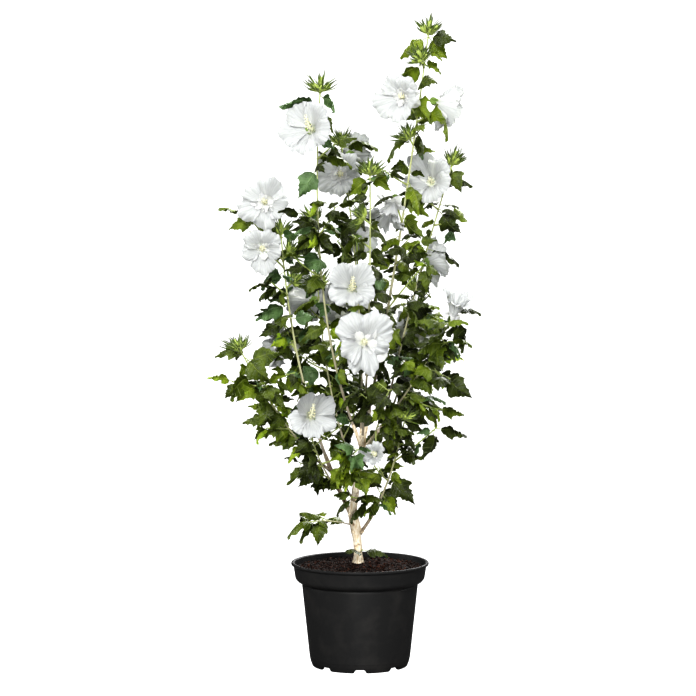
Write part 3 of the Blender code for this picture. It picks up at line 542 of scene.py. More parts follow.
def rolled_tube(
    name: str, points: list[Vector], radii: list[float], sides: int,
    relief: Callable[[float, float], float] | None = None,
) -> bpy.types.Mesh:
    """Roll a grid into a tapering tube along points, closed at both ends.

    Args:
        name: The mesh's name.
        points: The middle of each ring.
        radii: The radius of each ring.
        sides: The number of sides.
        relief: Gives how much further out a place is, from its turn and the distance along the tube.

    Returns:
        The tube's mesh, mapped with x round it and y along it.
    """
    pairs = zip([points[0], *points[:-1]], [*points[1:], points[-1]])
    headings = [(after - before).normalized() for before, after in pairs]
    normals = [headings[0].orthogonal().normalized()]
    for before, after in zip(headings, headings[1:]):
        normals.append(before.rotation_difference(after) @ normals[-1])
    distances = [0.0]
    for a, b in zip(points, points[1:]):
        distances.append(distances[-1] + (b - a).length)
    rows = len(points) + 1
    bm = mapped_grid(sides, rows)
    for vertex in bm.verts:
        turn = FULL_TURN * (round((vertex.co.x + 0.5) * sides) % sides) / sides
        row = round((vertex.co.y + 0.5) * rows)
        ring = min(max(row - 1, 0), len(points) - 1)
        if row in (0, rows):
            vertex.co = points[ring] + headings[ring] * radii[ring] * (0.5 if row else -0.5)
            continue
        out = normals[ring] * math.cos(turn) + headings[ring].cross(normals[ring]) * math.sin(turn)
        radius = radii[ring] * (1.0 + (relief(turn, distances[ring]) if relief else 0.0))
        vertex.co = points[ring] + out * radius
    bmesh.ops.remove_doubles(bm, verts=bm.verts, dist=WELD)
    bmesh.ops.recalc_face_normals(bm, faces=bm.faces)
    return mesh_from(bm, name)


@dataclass(frozen=True)
class Limb:
    """One tapering limb, from its foot in its parent to its tip.

    bare is the share of its length that is bough, thick and thin are its radii at foot and tip,
    twigs counts its seeded side twigs, cover the leaves it tries at each node, and seed starts its growth.
    """

    name: str
    foot: Vector
    bend: Vector
    tip: Vector
    thick: float = 0.0
    thin: float = 0.0
    bare: float = 1.0
    twigs: int = 0
    cover: int = 0
    seed: int = 0

    def along(self, share: float) -> Vector:
        """The point at a share of the curve, from 0 at the foot to 1 at the tip."""
        rest = 1.0 - share
        return self.foot * rest * rest + self.bend * (2 * share * rest) + self.tip * (share * share)

    def heading(self, share: float) -> Vector:
        """The direction of the curve at a share."""
        return ((self.bend - self.foot) * (1.0 - share) + (self.tip - self.bend) * share).normalized()

    def girth(self, share: float) -> float:
        """The radius at a share."""
        return self.thick + (self.thin - self.thick) * share

    def run(self, start: float, end: float, steps: int) -> tuple[list[Vector], list[float]]:
        """The points, and a radius for each, in a number of steps between two shares."""
        shares = [start + (end - start) * index / steps for index in range(steps + 1)]
        return [self.along(share) for share in shares], [self.girth(share) for share in shares]


@dataclass(frozen=True)
class Bloom:
    """One flower: the limb and the share of it that its stalk leaves, its middle, facing and width.

    The rest is for its looks alone: how many petals crowd its throat, whether the outer ones still lie
    even, how far the upper ones bend forward, how much lower it hangs than its solid, how far each petal
    reaches from the upper right round to the right, and the way that it looks from its calyx.
    """

    limb: str
    share: float
    middle: tuple
    facing: tuple
    width: float
    depth: float
    double: bool
    inner: int = 0
    even: bool = False
    hood: float = 0.0
    sink: float = 0.0
    reach: tuple = ()
    look: tuple = ()

    def place(self) -> Matrix:
        """Its solid's middle and facing as one matrix, with the flower looking along its Z."""
        return laid(in_metres(self.middle), Vector(self.facing).normalized())

    def shown(self) -> Matrix:
        """The place of the finished flower, turned about its calyx to the way that it looks."""
        way = Vector(self.look or self.facing).normalized()
        return laid(self.hung_point() + way * (self.width * self.depth), way)

    def calyx_point(self) -> Vector:
        """Where the solid's stalk ends, just inside the bottom of its funnel."""
        return in_metres(self.middle) - Vector(self.facing).normalized() * (self.width * self.depth)

    def hung_point(self) -> Vector:
        """Where the finished flower's stalk ends."""
        return self.calyx_point() - Vector((0.0, 0.0, self.sink))


# The same limbs, twigs, leading leaves, flowers and buds as the part's own source, places in millimetres
SOIL_TOP = 0.1660
GAP = 0.0003
TRUNK = Limb(
    "trunk", Vector((-0.003, 0.012, SOIL_TOP + GAP)), in_metres((-2, 11, 206)), in_metres((-12, 4, 249))
)
TRUNK_FLARE = ((0.0, 0.0098), (0.07, 0.0080), (0.20, 0.0068), (0.45, 0.0069), (0.72, 0.0084), (1.0, 0.0080))
CARRIED_ON = ("centre", "tall")

# Name, foot, bend and tip, then the two radii, bare, twigs, cover and seed
LIMB_ROWS = (
    ("centre", (-12, 4, 249), (-5, 0, 307), (6, 2, 374), 0.0066, 0.0046),
    ("tall", (6, 2, 374), (61, 0, 642), (110, 20, 1024), 0.0042, 0.0016, 0.08, 5, 2, 157),
    ("left", (-11, 5, 240), (-108, 30, 423), (-129, 60, 700), 0.0046, 0.0017, 0.26, 4, 2, 12),
    ("far_left", (-47, 15, 317), (-110, -50, 365), (-190, -78, 520), 0.0030, 0.0016, 0.20, 5, 3, 237),
    ("right_low", (-1, 9, 214), (45, -30, 275), (71, -75, 410), 0.0034, 0.0016, 0.30, 3, 2, 127),
    ("left_middle", (2, 1, 360), (-87, -30, 570), (-64, -45, 930), 0.0034, 0.0016, 0.08, 5, 2, 197),
    ("right", (3, 1, 352), (75, -40, 438), (156, -75, 590), 0.0034, 0.0016, 0.28, 5, 3, 233),
    ("right_upper", (38, -18, 397), (73, 90, 558), (152, 115, 812), 0.0028, 0.0016, 0.10, 4, 2, 84),
    ("back_middle", (-1, 1, 333), (14, 90, 542), (-30, 125, 845), 0.0032, 0.0016, 0.12, 4, 2, 167),
    ("front_middle", (1, 1, 342), (18, -110, 524), (15, -125, 800), 0.0032, 0.0016, 0.10, 4, 2, 212),
    ("back_left", (-4, 1, 304), (-58, 100, 425), (-70, 170, 610), 0.0030, 0.0016, 0.16, 5, 2, 134),
    ("back_right", (-2, 1, 318), (80, 110, 415), (92, 175, 600), 0.0030, 0.0016, 0.16, 5, 2, 83),
    ("front_low", (-3, 1, 311), (19, -70, 366), (45, -150, 465), 0.0028, 0.0015, 0.20, 4, 3, 149),
    ("left_low", (-31, 10, 281), (-61, -40, 320), (-78, -95, 385), 0.0024, 0.0015, 0.22, 3, 3, 39),
    ("centre_low", (-8, 2, 268), (-30, -45, 300), (-34, -90, 362), 0.0024, 0.0015, 0.20, 3, 3, 126),
    ("low_left", (-10, 7, 228), (-49, -12, 243), (-88, -28, 238), 0.0017, 0.0013, 0.0, 0, 1, 160),
    ("foot_sprout", (-3, 11, 180), (0, -2, 184), (4, -12, 192), 0.0015, 0.0012, 0.0, 0, 0, 116),
)
LIMBS = tuple(
    Limb(name, in_metres(foot), in_metres(bend), in_metres(tip), *sizes)
    for name, foot, bend, tip, *sizes in LIMB_ROWS
)

# Side twigs that set the crown's outline, by limb: the share that they leave it at, and their tip
TWIGS = {
    "far_left": ((0.80, (-205, -62, 470)), (0.50, (-150, -60, 395))),
    "right_low": ((0.72, (122, -92, 400)),),
    "right": ((0.66, (158, -80, 470)), (0.45, (125, -60, 425))),
    "right_upper": ((0.80, (158, 130, 720)),),
    "left": ((0.92, (-186, 78, 732)), (0.62, (-135, 62, 572))),
    "back_left": ((0.60, (-110, 185, 500)),),
    "back_right": ((0.60, (150, 170, 500)),),
    "left_low": ((0.55, (-98, -50, 338)),),
    "left_middle": ((0.60, (-94, -20, 738)), (0.66, (-40, -30, 748))),
    "tall": ((0.36, (104, -4, 655)),),
}

# Tips of the leaves that set the crown's outline, by limb
LEADERS = {
    "tall": (
        (153, 4, 1018), (61, 34, 990), (53, 26, 948), (142, 34, 987), (147, 4, 857), (106, -26, 888),
        (40, 10, 826), (106, -30, 830), (100, -12, 738), (112, -10, 612),
    ),
    "left_middle": ((-130, -60, 914), (-36, -70, 900), (-98, -50, 762)),
    "back_middle": ((-62, 110, 806), (30, 120, 846)),
    "front_middle": ((-20, -130, 770), (46, -120, 772)),
    "right_upper": ((166, 86, 772), (170, 120, 698), (166, 110, 655)),
    "right": ((192, -70, 584), (169, -80, 519), (176, -95, 449)),
    "right_low": ((171, -100, 391), (103, -95, 345), (88, -60, 275)),
    "left": ((-229, 65, 749), (-214, 60, 712), (-172, 52, 566), (-168, 80, 612)),
    "far_left": ((-231, -85, 515), (-124, -70, 520), (-142, -85, 472), (-212, -90, 446), (-160, -68, 392)),
    "left_low": ((-112, -60, 300),),
    "low_left": ((-120, -40, 222), (-102, -8, 208), (-68, -40, 204)),
    "foot_sprout": ((-22, -34, 196), (46, -14, 186)),
}

BLOOMS = (
    Bloom("left_middle", 0.90, (-86, -76, 880), (-0.45, -0.85, 0.20), 0.078, 0.30, False, hood=0.10,
          sink=0.004, reach=(1.15, 1.18, 1.24, 1.16, 1.12)),
    Bloom("tall", 0.82, (50, -8, 926), (-0.85, -0.50, 0.10), 0.076, 0.34, True, inner=16, even=True,
          reach=(0.95, 1.10, 1.34, 1.10, 0.90), look=(-0.46, -0.86, 0.05)),
    Bloom("tall", 0.86, (146, 52, 904), (0.72, 0.45, -0.38), 0.066, 0.55, False,
          reach=(1.2, 1.3, 1.3, 1.2, 1.1)),
    Bloom("right_upper", 0.90, (108, 62, 786), (-0.40, -0.82, -0.25), 0.084, 0.34, True, inner=5,
          even=True, hood=0.15, sink=0.010, reach=(1.00, 1.18, 1.05, 0.95, 0.90),
          look=(-0.28, -0.88, 0.30)),
    Bloom("left", 0.99, (-158, 28, 757), (-0.20, -0.94, 0.22), 0.080, 0.30, True, inner=14,
          reach=(1.08, 1.04, 1.16, 1.08, 1.14)),
    Bloom("left", 0.90, (-158, -4, 684), (0.05, -0.97, -0.10), 0.070, 0.30, True, inner=8, even=True,
          sink=0.006, reach=(1.0, 1.0, 0.92, 1.16, 0.88)),
    Bloom("back_middle", 0.86, (-32, 75, 800), (0.05, -0.95, 0.15), 0.070, 0.30, True, inner=18),
    Bloom("back_middle", 0.96, (-6, 158, 838), (0.42, 0.80, 0.30), 0.060, 0.45, False),
    Bloom("tall", 0.58, (43, -18, 722), (-0.30, -0.35, -0.88), 0.062, 0.75, True, inner=10),
    Bloom("back_middle", 0.58, (10, 125, 682), (0.45, 0.60, -0.35), 0.056, 0.50, False),
    Bloom("front_middle", 0.56, (-12, -142, 636), (0.05, -0.95, -0.15), 0.080, 0.34, False, hood=0.12,
          sink=0.020, reach=(1.10, 1.14, 0.96, 0.66, 0.90), look=(0.06, -0.96, 0.12)),
    Bloom("front_middle", 0.40, (7, -154, 545), (0.05, -0.98, -0.08), 0.098, 0.30, True, inner=8,
          sink=0.008, reach=(1.12, 1.08, 0.84, 1.04, 0.80)),
    Bloom("left_low", 0.95, (-77, -122, 412), (0.12, -0.96, -0.16), 0.082, 0.36, False, hood=0.66,
          reach=(1.16, 1.20, 0.96, 0.88, 0.94), look=(0.24, -0.94, 0.14)),
    Bloom("right", 0.99, (157, -78, 606), (0.30, -0.30, 0.90), 0.050, 0.85, True, inner=16),
    Bloom("front_low", 0.60, (18, -110, 360), (-0.30, -0.88, 0.20), 0.038, 0.60, True, inner=12),
    Bloom("back_left", 0.95, (-85, 200, 588), (-0.40, 0.88, 0.15), 0.082, 0.30, False, hood=0.20),
    Bloom("back_right", 0.80, (100, 196, 520), (0.35, 0.92, 0.05), 0.086, 0.32, True, inner=12),
    Bloom("back_middle", 0.50, (-20, 120, 575), (-0.35, 0.90, 0.10), 0.076, 0.34, True, inner=9),
    Bloom("right_upper", 0.62, (128, 110, 655), (0.85, 0.45, 0.10), 0.074, 0.34, False, hood=0.15),
    Bloom("left", 0.66, (-142, 86, 520), (-0.80, 0.55, 0.05), 0.078, 0.34, True, inner=14),
)

# Bud clusters below the limbs' own tips: limb, share of it, and the way they lean
BUD_CLUSTERS = (
    ("tall", 0.93, (-0.3, -0.5, 0.8)),
    ("tall", 0.76, (-0.5, -0.2, 0.8)),
    ("left", 0.93, (0.9, 0.2, 0.6)),
    ("left", 0.84, (0.8, -0.2, 0.7)),
    ("left_middle", 0.68, (-0.5, 0.3, 0.8)),
    ("front_middle", 0.86, (-0.8, -0.2, 0.6)),
    ("back_right", 0.90, (0.5, 0.5, 0.8)),
)
TIP_CLUSTERS = (
    "tall", "left", "far_left", "right_low", "left_middle", "right_upper", "back_middle", "front_middle",
    "back_left", "back_right",
)


@dataclass(frozen=True)
class LeafHabit:
    """How leaves are sized, set and kept apart, as in the part's own source."""

    width_share: float = 0.70
    broadest: float = 0.44
    length: tuple = (0.036, 0.062)
    fold: float = 0.10
    clearance: float = 0.0012
    neck: float = 0.16
    root_step: float = 0.0080
    tries: int = 4
    next_try: float = GOLDEN_ANGLE * 0.5
    shrink: float = 0.25
    turn: float = 2.0
    sway: float = 0.5
    lift: float = 0.75
    slope: tuple = (-1.25, 0.20)
    tip_lift: float = 0.3
    furthest_back: float = -0.75
    leader: tuple = (0.040, 0.060)
    leader_share: float = 0.9
    node_step: float = 0.038
    first_node: float = 0.30
    node_jitter: float = 0.3
    last_node: float = 0.97
    last_root: float = 0.99


@dataclass(frozen=True)
class ShootHabit:
    """How stems, twigs, stalks and bud clusters are sized, as in the part's own source."""

    stem_steps: int = 7
    stem_lean: float = 0.3
    start_step: float = 0.002
    radius: float = 0.0014
    tip_radius: float = 0.0009
    length: tuple = (0.050, 0.095)
    shrink: float = 0.4
    rise: tuple = (0.2, 0.8)
    twigs_end: float = 0.92
    first_twig: float = 0.3
    twig_jitter: float = 0.5
    clearance: float = 0.020
    cell_clearance: float = 0.0016
    skeleton_step: float = 0.004
    cluster_size: float = 0.022
    side_cluster_size: float = 0.0176
    bud_stalk: float = 0.012
    stalk_radius: float = 0.0014


@dataclass(frozen=True)
class FineHabit:
    """How the finer growth carries the rule on: younger leaves and twiglets within the same reach.

    It thins out from the height open_above to the height open_by, where the photo shows sky.
    """

    length: tuple = (0.024, 0.050)
    step: float = 0.019
    tries: int = 4
    twiglet_every: int = 4
    twiglet: tuple = (0.014, 0.030)
    twiglet_rise: tuple = (0.2, 1.0)
    twiglet_lean: float = 0.3
    twiglet_leaves: int = 3
    radius: float = 0.0008
    reach: float = 0.016
    slope: tuple = (-1.6, 0.2)
    open_above: float = 0.32
    open_by: float = 0.80
    seed: int = 4000


LEAF = LeafHabit()
SHOOT = ShootHabit()
FINE = FineHabit()


@dataclass
class Shoot:
    """A stem or twig, as points with a radius each."""

    points: list[Vector]
    radii: list[float]

    def length(self) -> float:
        """Its whole length."""
        return sum((b - a).length for a, b in zip(self.points, self.points[1:]))

    def skeleton(self) -> list[Vector]:
        """Lay points a few millimetres apart along it.

        Returns:
            The points.
        """
        found = []
        for start, end in zip(self.points, self.points[1:]):
            count = max(1, math.ceil((end - start).length / SHOOT.skeleton_step))
            found.extend(start.lerp(end, step / count) for step in range(count))
        return [*found, self.points[-1]]

    def at(self, share: float) -> tuple[Vector, Vector]:
        """The point and the direction at a share of its length.

        Args:
            share: The share, from 0 at its foot to 1 at its tip.

        Returns:
            The point and the unit direction.
        """
        spans = [(b - a).length for a, b in zip(self.points, self.points[1:])]
        left = share * sum(spans)
        index = 0
        while left > spans[index] and index < len(spans) - 1:
            left -= spans[index]
            index += 1
        a, b = self.points[index], self.points[index + 1]
        return a.lerp(b, min(1.0, left / spans[index]) * 0.98), (b - a).normalized()


@dataclass
class Leaf:
    """One leaf as the rule sets it: root, tip, the way its face looks, its shoot's order and its share."""

    root: Vector
    tip: Vector
    lift: Vector
    spray: int = 0
    share: float = 0.0
    young: bool = False

    def corners(self, spread: float = 0.0, raised: float = 0.0) -> list[Vector]:
        """Root, tip, left and right of the leaf as a kite folded along its midrib.

        Args:
            spread: How much wider it is made all round.
            raised: How far it is moved towards its face.

        Returns:
            The four corners.
        """
        length = (self.tip - self.root).length
        forward = (self.tip - self.root) / length
        side = forward.cross(self.lift).normalized()
        normal = side.cross(forward).normalized()
        half = length * LEAF.width_share / 2 + spread
        middle = self.root + forward * (length * LEAF.broadest) - normal * (length * LEAF.fold)
        corners = (self.root, self.tip + forward * spread, middle + side * half, middle - side * half)
        return [corner + normal * raised for corner in corners]

    def guard(self) -> list[list[Vector]]:
        """The leaf with its clearance, as a stack of three wider leaves."""
        return [self.corners(LEAF.clearance, raised) for raised in (-LEAF.clearance, 0.0, LEAF.clearance)]


# The faces of a leaf's kite, by the order of its corners
LEAF_FACES = ((0, 2, 1), (0, 1, 3), (0, 3, 2), (1, 2, 3))
# A plain body as its corners and its faces
Body = tuple[list, list]


def tree_of(points: list[Vector]) -> KDTree:
    """Make a search tree over points.

    Args:
        points: The points.

    Returns:
        The tree.
    """
    tree = KDTree(len(points))
    for index, point in enumerate(points):
        tree.insert(point, index)
    tree.balance()
    return tree


def joined_tree(bodies: list[Body]) -> BVHTree:
    """Make one search tree over several bodies.

    Args:
        bodies: The corners and faces of each.

    Returns:
        The tree.
    """
    corners, faces = [], []
    for some_corners, some_faces in bodies:
        base = len(corners)
        corners.extend(some_corners)
        faces.extend(tuple(index + base for index in face) for face in some_faces)
    return BVHTree.FromPolygons(corners, faces)


def kites_tree(kites: list[list[Vector]]) -> BVHTree:
    """One search tree over leaves as kites."""
    return joined_tree([(kite, LEAF_FACES) for kite in kites])


def body_of(mesh: bpy.types.Mesh, keep: bool = False) -> Body:
    """Read the corners and faces of a mesh.

    Args:
        mesh: The mesh, which is removed unless it is kept.
        keep: Whether the mesh stays.

    Returns:
        Its corners and faces.
    """
    corners = [vertex.co.copy() for vertex in mesh.vertices]
    faces = [tuple(face.vertices) for face in mesh.polygons]
    if not keep:
        bpy.data.meshes.remove(mesh)
    return corners, faces


@dataclass(frozen=True)
class Stand:
    """The plain bodies that leaves keep clear of, each shaped as its solid is."""

    sections: int = 3
    spikes: int = 5
    spike: tuple = (0.70, 0.72)
    valley: tuple = (0.24, 0.22)
    foot: float = -0.2
    petals: int = PETALS
    notch: float = 0.05
    wave: float = 0.10
    throat: float = 0.62
    thickness: float = 0.0016
    calyx_drop: float = 0.0060
    calyx_radius: float = 0.0048

    def shoot(self, shoot: Shoot) -> Body:
        """A three-sided stem or twig through a shoot's points.

        Args:
            shoot: The shoot.

        Returns:
            Its corners and faces.
        """
        outline = bpy.data.curves.new("section", "CURVE")
        outline.dimensions = "2D"
        corners = outline.splines.new("POLY")
        corners.points.add(self.sections - 1)
        for index, corner in enumerate(corners.points):
            turn = -FULL_TURN * index / self.sections
            corner.co = (*polar(turn), 1.0)
        corners.use_cyclic_u = True
        curve = bpy.data.curves.new("shoot", "CURVE")
        curve.dimensions = "3D"
        curve.bevel_mode = "OBJECT"
        curve.bevel_object = bpy.data.objects.new("section", outline)
        curve.use_fill_caps = True
        spline = curve.splines.new("POLY")
        spline.points.add(len(shoot.points) - 1)
        for place, point, radius in zip(spline.points, shoot.points, shoot.radii):
            place.co = (*point, 1.0)
            place.radius = radius
        holder = bpy.data.objects.new("shoot", curve)
        bpy.context.scene.collection.objects.link(holder)
        depsgraph = bpy.context.evaluated_depsgraph_get()
        mesh = bpy.data.meshes.new_from_object(holder.evaluated_get(depsgraph))
        bpy.data.objects.remove(holder, do_unlink=True)
        bpy.data.curves.remove(curve)
        bpy.data.curves.remove(outline)
        return body_of(mesh)

    def stalk(self, start: Vector, end: Vector) -> Body:
        """The corners and faces of a three-sided stalk from its foot to its tip."""
        place = laid((start + end) / 2, end - start)
        return body_of(rod("stalk", place, (end - start).length, SHOOT.stalk_radius, SHOOT.stalk_radius))

    def cluster(self, place: Vector, way: Vector, size: float) -> Body:
        """A bud cluster as one star.

        Args:
            place: The cluster's foot.
            way: The way it points.
            size: Its height.

        Returns:
            Its corners and faces.
        """
        bm = bmesh.new()
        bmesh.ops.create_uvsphere(bm, u_segments=2 * self.spikes, v_segments=2, radius=1.0)
        for vertex in bm.verts:
            if abs(vertex.co.z) > 0.5:
                vertex.co.z = 1.0 if vertex.co.z > 0.0 else self.foot
                continue
            turn = math.atan2(vertex.co.y, vertex.co.x)
            reach, height = self.spike if math.cos(self.spikes * turn) > 0.0 else self.valley
            vertex.co = cylindrical(reach, turn, height)
        bmesh.ops.scale(bm, vec=(size, size, size), verts=bm.verts)
        bmesh.ops.transform(bm, matrix=laid(place, way), verts=bm.verts)
        return body_of(mesh_from(bm, "cluster"))

    def bloom(self, bloom: Bloom) -> Body:
        """A flower as one funnel.

        Args:
            bloom: The flower.

        Returns:
            Its corners and faces.
        """
        radius = bloom.width / 2
        deep = bloom.width * bloom.depth
        profile = (
            (0.0, -deep - self.calyx_drop),
            (self.calyx_radius, -deep),
            (radius, 0.0),
            (radius * self.throat, -deep * (1 - self.throat) + self.thickness),
            (0.0, -deep * (0.05 if bloom.double else 0.70)),
        )
        bm = spun(profile, 2 * self.petals)
        for vertex in bm.verts:
            distance = math.hypot(vertex.co.x, vertex.co.y)
            lobe = math.cos(self.petals * math.atan2(vertex.co.y, vertex.co.x))
            vertex.co.x *= 1.0 - self.notch * (1.0 - lobe)
            vertex.co.y *= 1.0 - self.notch * (1.0 - lobe)
            vertex.co.z += distance * self.wave * lobe
        bmesh.ops.transform(bm, matrix=bloom.place(), verts=bm.verts)
        return body_of(mesh_from(bm, "bloom"))


def rod(name: str, place: Matrix, length: float, thick: float, thin: float) -> bpy.types.Mesh:
    """Make a three-sided rod along Z.

    Args:
        name: The mesh's name.
        place: The matrix that lays its middle.
        length: Its length.
        thick: The radius at its foot.
        thin: The radius at its tip.

    Returns:
        The rod's mesh.
    """
    bm = bmesh.new()
    bmesh.ops.create_cone(
        bm, cap_ends=True, segments=3, radius1=thick, radius2=thin, depth=length, matrix=place
    )
    return mesh_from(bm, name)


def spun(profile: tuple | list, steps: int) -> bmesh.types.BMesh:
    """Turn a profile, from the axis round to the axis, about Z.

    Args:
        profile: Pairs of radius and height.
        steps: The number of steps round.

    Returns:
        The closed shape, its poles and its seam welded.
    """
    bm = bmesh.new()
    points = [bm.verts.new((distance, 0.0, height)) for distance, height in profile]
    edges = [bm.edges.new(pair) for pair in zip(points, points[1:])]
    bmesh.ops.spin(
        bm, geom=points + edges, cent=(0, 0, 0), axis=(0, 0, 1), angle=FULL_TURN, steps=steps, use_merge=True
    )
    bmesh.ops.remove_doubles(bm, verts=bm.verts, dist=WELD)
    bmesh.ops.recalc_face_normals(bm, faces=bm.faces)
    return bm


def trunk_rings(steps: int) -> tuple[list[Vector], list[float]]:
    """The trunk's points and radii, from its foot on the compost to the fork.

    Args:
        steps: Rings for each span of the flare's table.

    Returns:
        The points and a radius for each.
    """
    points, radii = [], []
    for (share, radius), (next_share, next_radius) in zip(TRUNK_FLARE, TRUNK_FLARE[1:]):
        for step in range(steps):
            points.append(TRUNK.along(share + (next_share - share) * step / steps))
            radii.append(radius + (next_radius - radius) * step / steps)
    return [*points, TRUNK.along(1.0)], [*radii, TRUNK_FLARE[-1][1]]


class Mass:
    """The foliage on one limb, which keeps to the space nearer to its own shoots than to any other's."""

    def __init__(self, limb: Limb) -> None:
        """Start with the limb's stem, its named twigs and its flowers' stalks.

        Args:
            limb: The limb.
        """
        self.limb = limb
        self.random = random.Random(limb.seed)
        self.finer = random.Random(limb.seed + FINE.seed)
        self.start = self.stem_start()
        self.shoots = [self.main_shoot()]
        for share, tip in TWIGS.get(limb.name, ()):
            self.shoots.append(self.twig(self.on_stem(share), in_metres(tip)))
        self.blooms = [bloom for bloom in BLOOMS if bloom.limb == limb.name]
        self.stalks = [(self.on_stem(bloom.share), bloom.calyx_point()) for bloom in self.blooms]
        self.clusters: list[tuple[Vector, Vector, float]] = []
        self.leaves: list[Leaf] = []
        self.twiglets: list[Shoot] = []

    def stem_start(self) -> float:
        """Find where the stem begins: where its bough ends, or a gap beyond the trunk.

        Returns:
            The share of the limb.
        """
        if self.limb.bare > 0.0:
            return self.limb.bare
        points, radii = trunk_rings(2)
        points[1] = Vector((points[0].x, points[0].y, points[1].z))
        dense = [a.lerp(b, step / 10) for a, b in zip(points, points[1:]) for step in range(10)]
        girths = [a + (b - a) * step / 10 for a, b in zip(radii, radii[1:]) for step in range(10)]
        share = 0.0
        while True:
            place = self.limb.along(share)
            clear = min((place - point).length - radius for point, radius in zip(dense, girths))
            if clear > GAP + self.limb.thick * SHOOT.stem_lean:
                return share
            share += SHOOT.start_step

    def main_shoot(self) -> Shoot:
        """Lay the stem, from a gap beyond the bough to the limb's tip.

        Returns:
            The stem.
        """
        steps = max(3, round((1.0 - self.start) * SHOOT.stem_steps))
        points, radii = self.limb.run(self.start, 1.0, steps)
        if self.limb.bare > 0.0:
            points[0] = points[0] + self.limb.heading(self.start) * GAP
        return Shoot(points, radii)

    def twig(self, start: Vector, tip: Vector) -> Shoot:
        """A straight twig between two points."""
        return Shoot([start, tip], [SHOOT.radius, SHOOT.tip_radius])

    def on_stem(self, share: float) -> Vector:
        """Find the point of the stem that is nearest to a share of the limb.

        Args:
            share: The share.

        Returns:
            The point.
        """
        spot = self.limb.along(share)
        nearest = []
        for start, end in zip(self.shoots[0].points, self.shoots[0].points[1:]):
            _, part = intersect_point_line(spot, start, end)
            nearest.append(start.lerp(end, min(1.0, max(0.0, part))))
        return min(nearest, key=lambda point: (point - spot).length)

    def skeleton(self) -> list[Vector]:
        """Points along every shoot and stalk."""
        shoots = self.shoots + [Shoot([start, end], []) for start, end in self.stalks]
        return [point for shoot in shoots for point in shoot.skeleton()]

    def grow_twigs(self, others: KDTree) -> None:
        """Add seeded side twigs that stay well clear of every other mass.

        Args:
            others: The other masses' skeletons.
        """
        for index in range(self.limb.twigs):
            place = index + SHOOT.first_twig + SHOOT.twig_jitter * self.random.random()
            place /= self.limb.twigs
            share = self.start + (SHOOT.twigs_end - self.start) * place
            turn = index * GOLDEN_ANGLE + self.random.uniform(0, FULL_TURN)
            length = self.random.uniform(*SHOOT.length) * (1.0 - SHOOT.shrink * share)
            rise = self.random.uniform(*SHOOT.rise)
            foot = self.on_stem(share)
            way = polar(turn, rise).normalized()
            shoot = self.twig(foot, foot + way * length)
            if all(others.find(point)[2] > SHOOT.clearance for point in shoot.skeleton()):
                self.shoots.append(shoot)

    def grow_buds(self) -> None:
        """Add bud clusters at the limb's tip and at the places named for it."""
        if self.limb.name in TIP_CLUSTERS:
            self.clusters.append((self.limb.along(1.0), self.limb.heading(1.0), SHOOT.cluster_size))
        for name, share, lean in BUD_CLUSTERS:
            if name == self.limb.name:
                foot = self.on_stem(share)
                way = Vector(lean).normalized()
                self.stalks.append((foot, foot + way * SHOOT.bud_stalk))
                self.clusters.append((foot + way * (SHOOT.bud_stalk - 0.001), way, SHOOT.side_cluster_size))

    def leaf_places(self) -> list[tuple[Vector, Vector, float, float, int]]:
        """Find where leaves may stand, by the seeded rule.

        Returns:
            The root, shoot direction, turn, share and shoot of each.
        """
        found = []
        for order, shoot in enumerate(self.shoots):
            length = shoot.length()
            count = max(1, round(length / LEAF.node_step))
            turn = self.random.uniform(0, FULL_TURN)
            for index in range(count + 1):
                node = (index + LEAF.first_node + LEAF.node_jitter * self.random.random()) / (count + 0.5)
                share = min(LEAF.last_node, node)
                turn += GOLDEN_ANGLE
                for extra in range(self.limb.cover + (1 if order else 0)):
                    place, axis = shoot.at(min(LEAF.last_root, share + extra * LEAF.root_step / length))
                    way = turn + extra * LEAF.turn + self.random.uniform(-LEAF.sway, LEAF.sway)
                    found.append((place, axis, way, share, order))
        return found

    def leaf_lift(self, source: random.Random) -> Vector:
        """The way a leaf's face looks: up, and tilted to a seeded side."""
        return polar(source.uniform(0, FULL_TURN), LEAF.lift)

    def settle(self, obstacles: BVHTree, others: KDTree, wood: BVHTree) -> None:
        """Take in what its leaves keep clear of.

        Args:
            obstacles: Limbs, flowers and the other masses' shoots.
            others: The other masses' skeletons.
            wood: This mass's own shoots.
        """
        self.obstacles = obstacles
        self.others = others
        self.wood = wood
        self.own = tree_of(self.skeleton())

    def grow_leaves(self) -> None:
        """Add leaves by the rule, skipping each that would leave the space or touch another thing."""
        for tip in map(in_metres, LEADERS.get(self.limb.name, ())):
            root, order = self.leader_root(tip)
            self.leaves.append(Leaf(root, tip, self.leaf_lift(self.random), order, LEAF.leader_share))
        for place, axis, turn, share, order in self.leaf_places():
            for _ in range(LEAF.tries):
                length = self.random.uniform(*LEAF.length) * (1.0 - LEAF.shrink * share)
                slope = self.random.uniform(*LEAF.slope) + LEAF.tip_lift * share
                way = polar(turn, slope).normalized()
                leaf = Leaf(place, place + way * length, self.leaf_lift(self.random), order, share)
                turn += LEAF.next_try
                if way.dot(axis) > LEAF.furthest_back and self.fits(leaf):
                    self.leaves.append(leaf)
                    break

    def leader_root(self, tip: Vector) -> tuple[Vector, int]:
        """The highest point inside the shoots within a leaf's length of a leading leaf's tip.

        Args:
            tip: The leaf's tip.

        Returns:
            The point and the order of its shoot.
        """
        inner = [shoot.skeleton()[1:-1] for shoot in self.shoots]
        spots = [(spot, order) for order, points in enumerate(inner) for spot in points]
        least, most = LEAF.leader
        near = [entry for entry in spots if least < (entry[0] - tip).length < most]
        if not near:
            return min(spots, key=lambda entry: (entry[0] - tip).length)
        return max(near, key=lambda entry: entry[0].z)

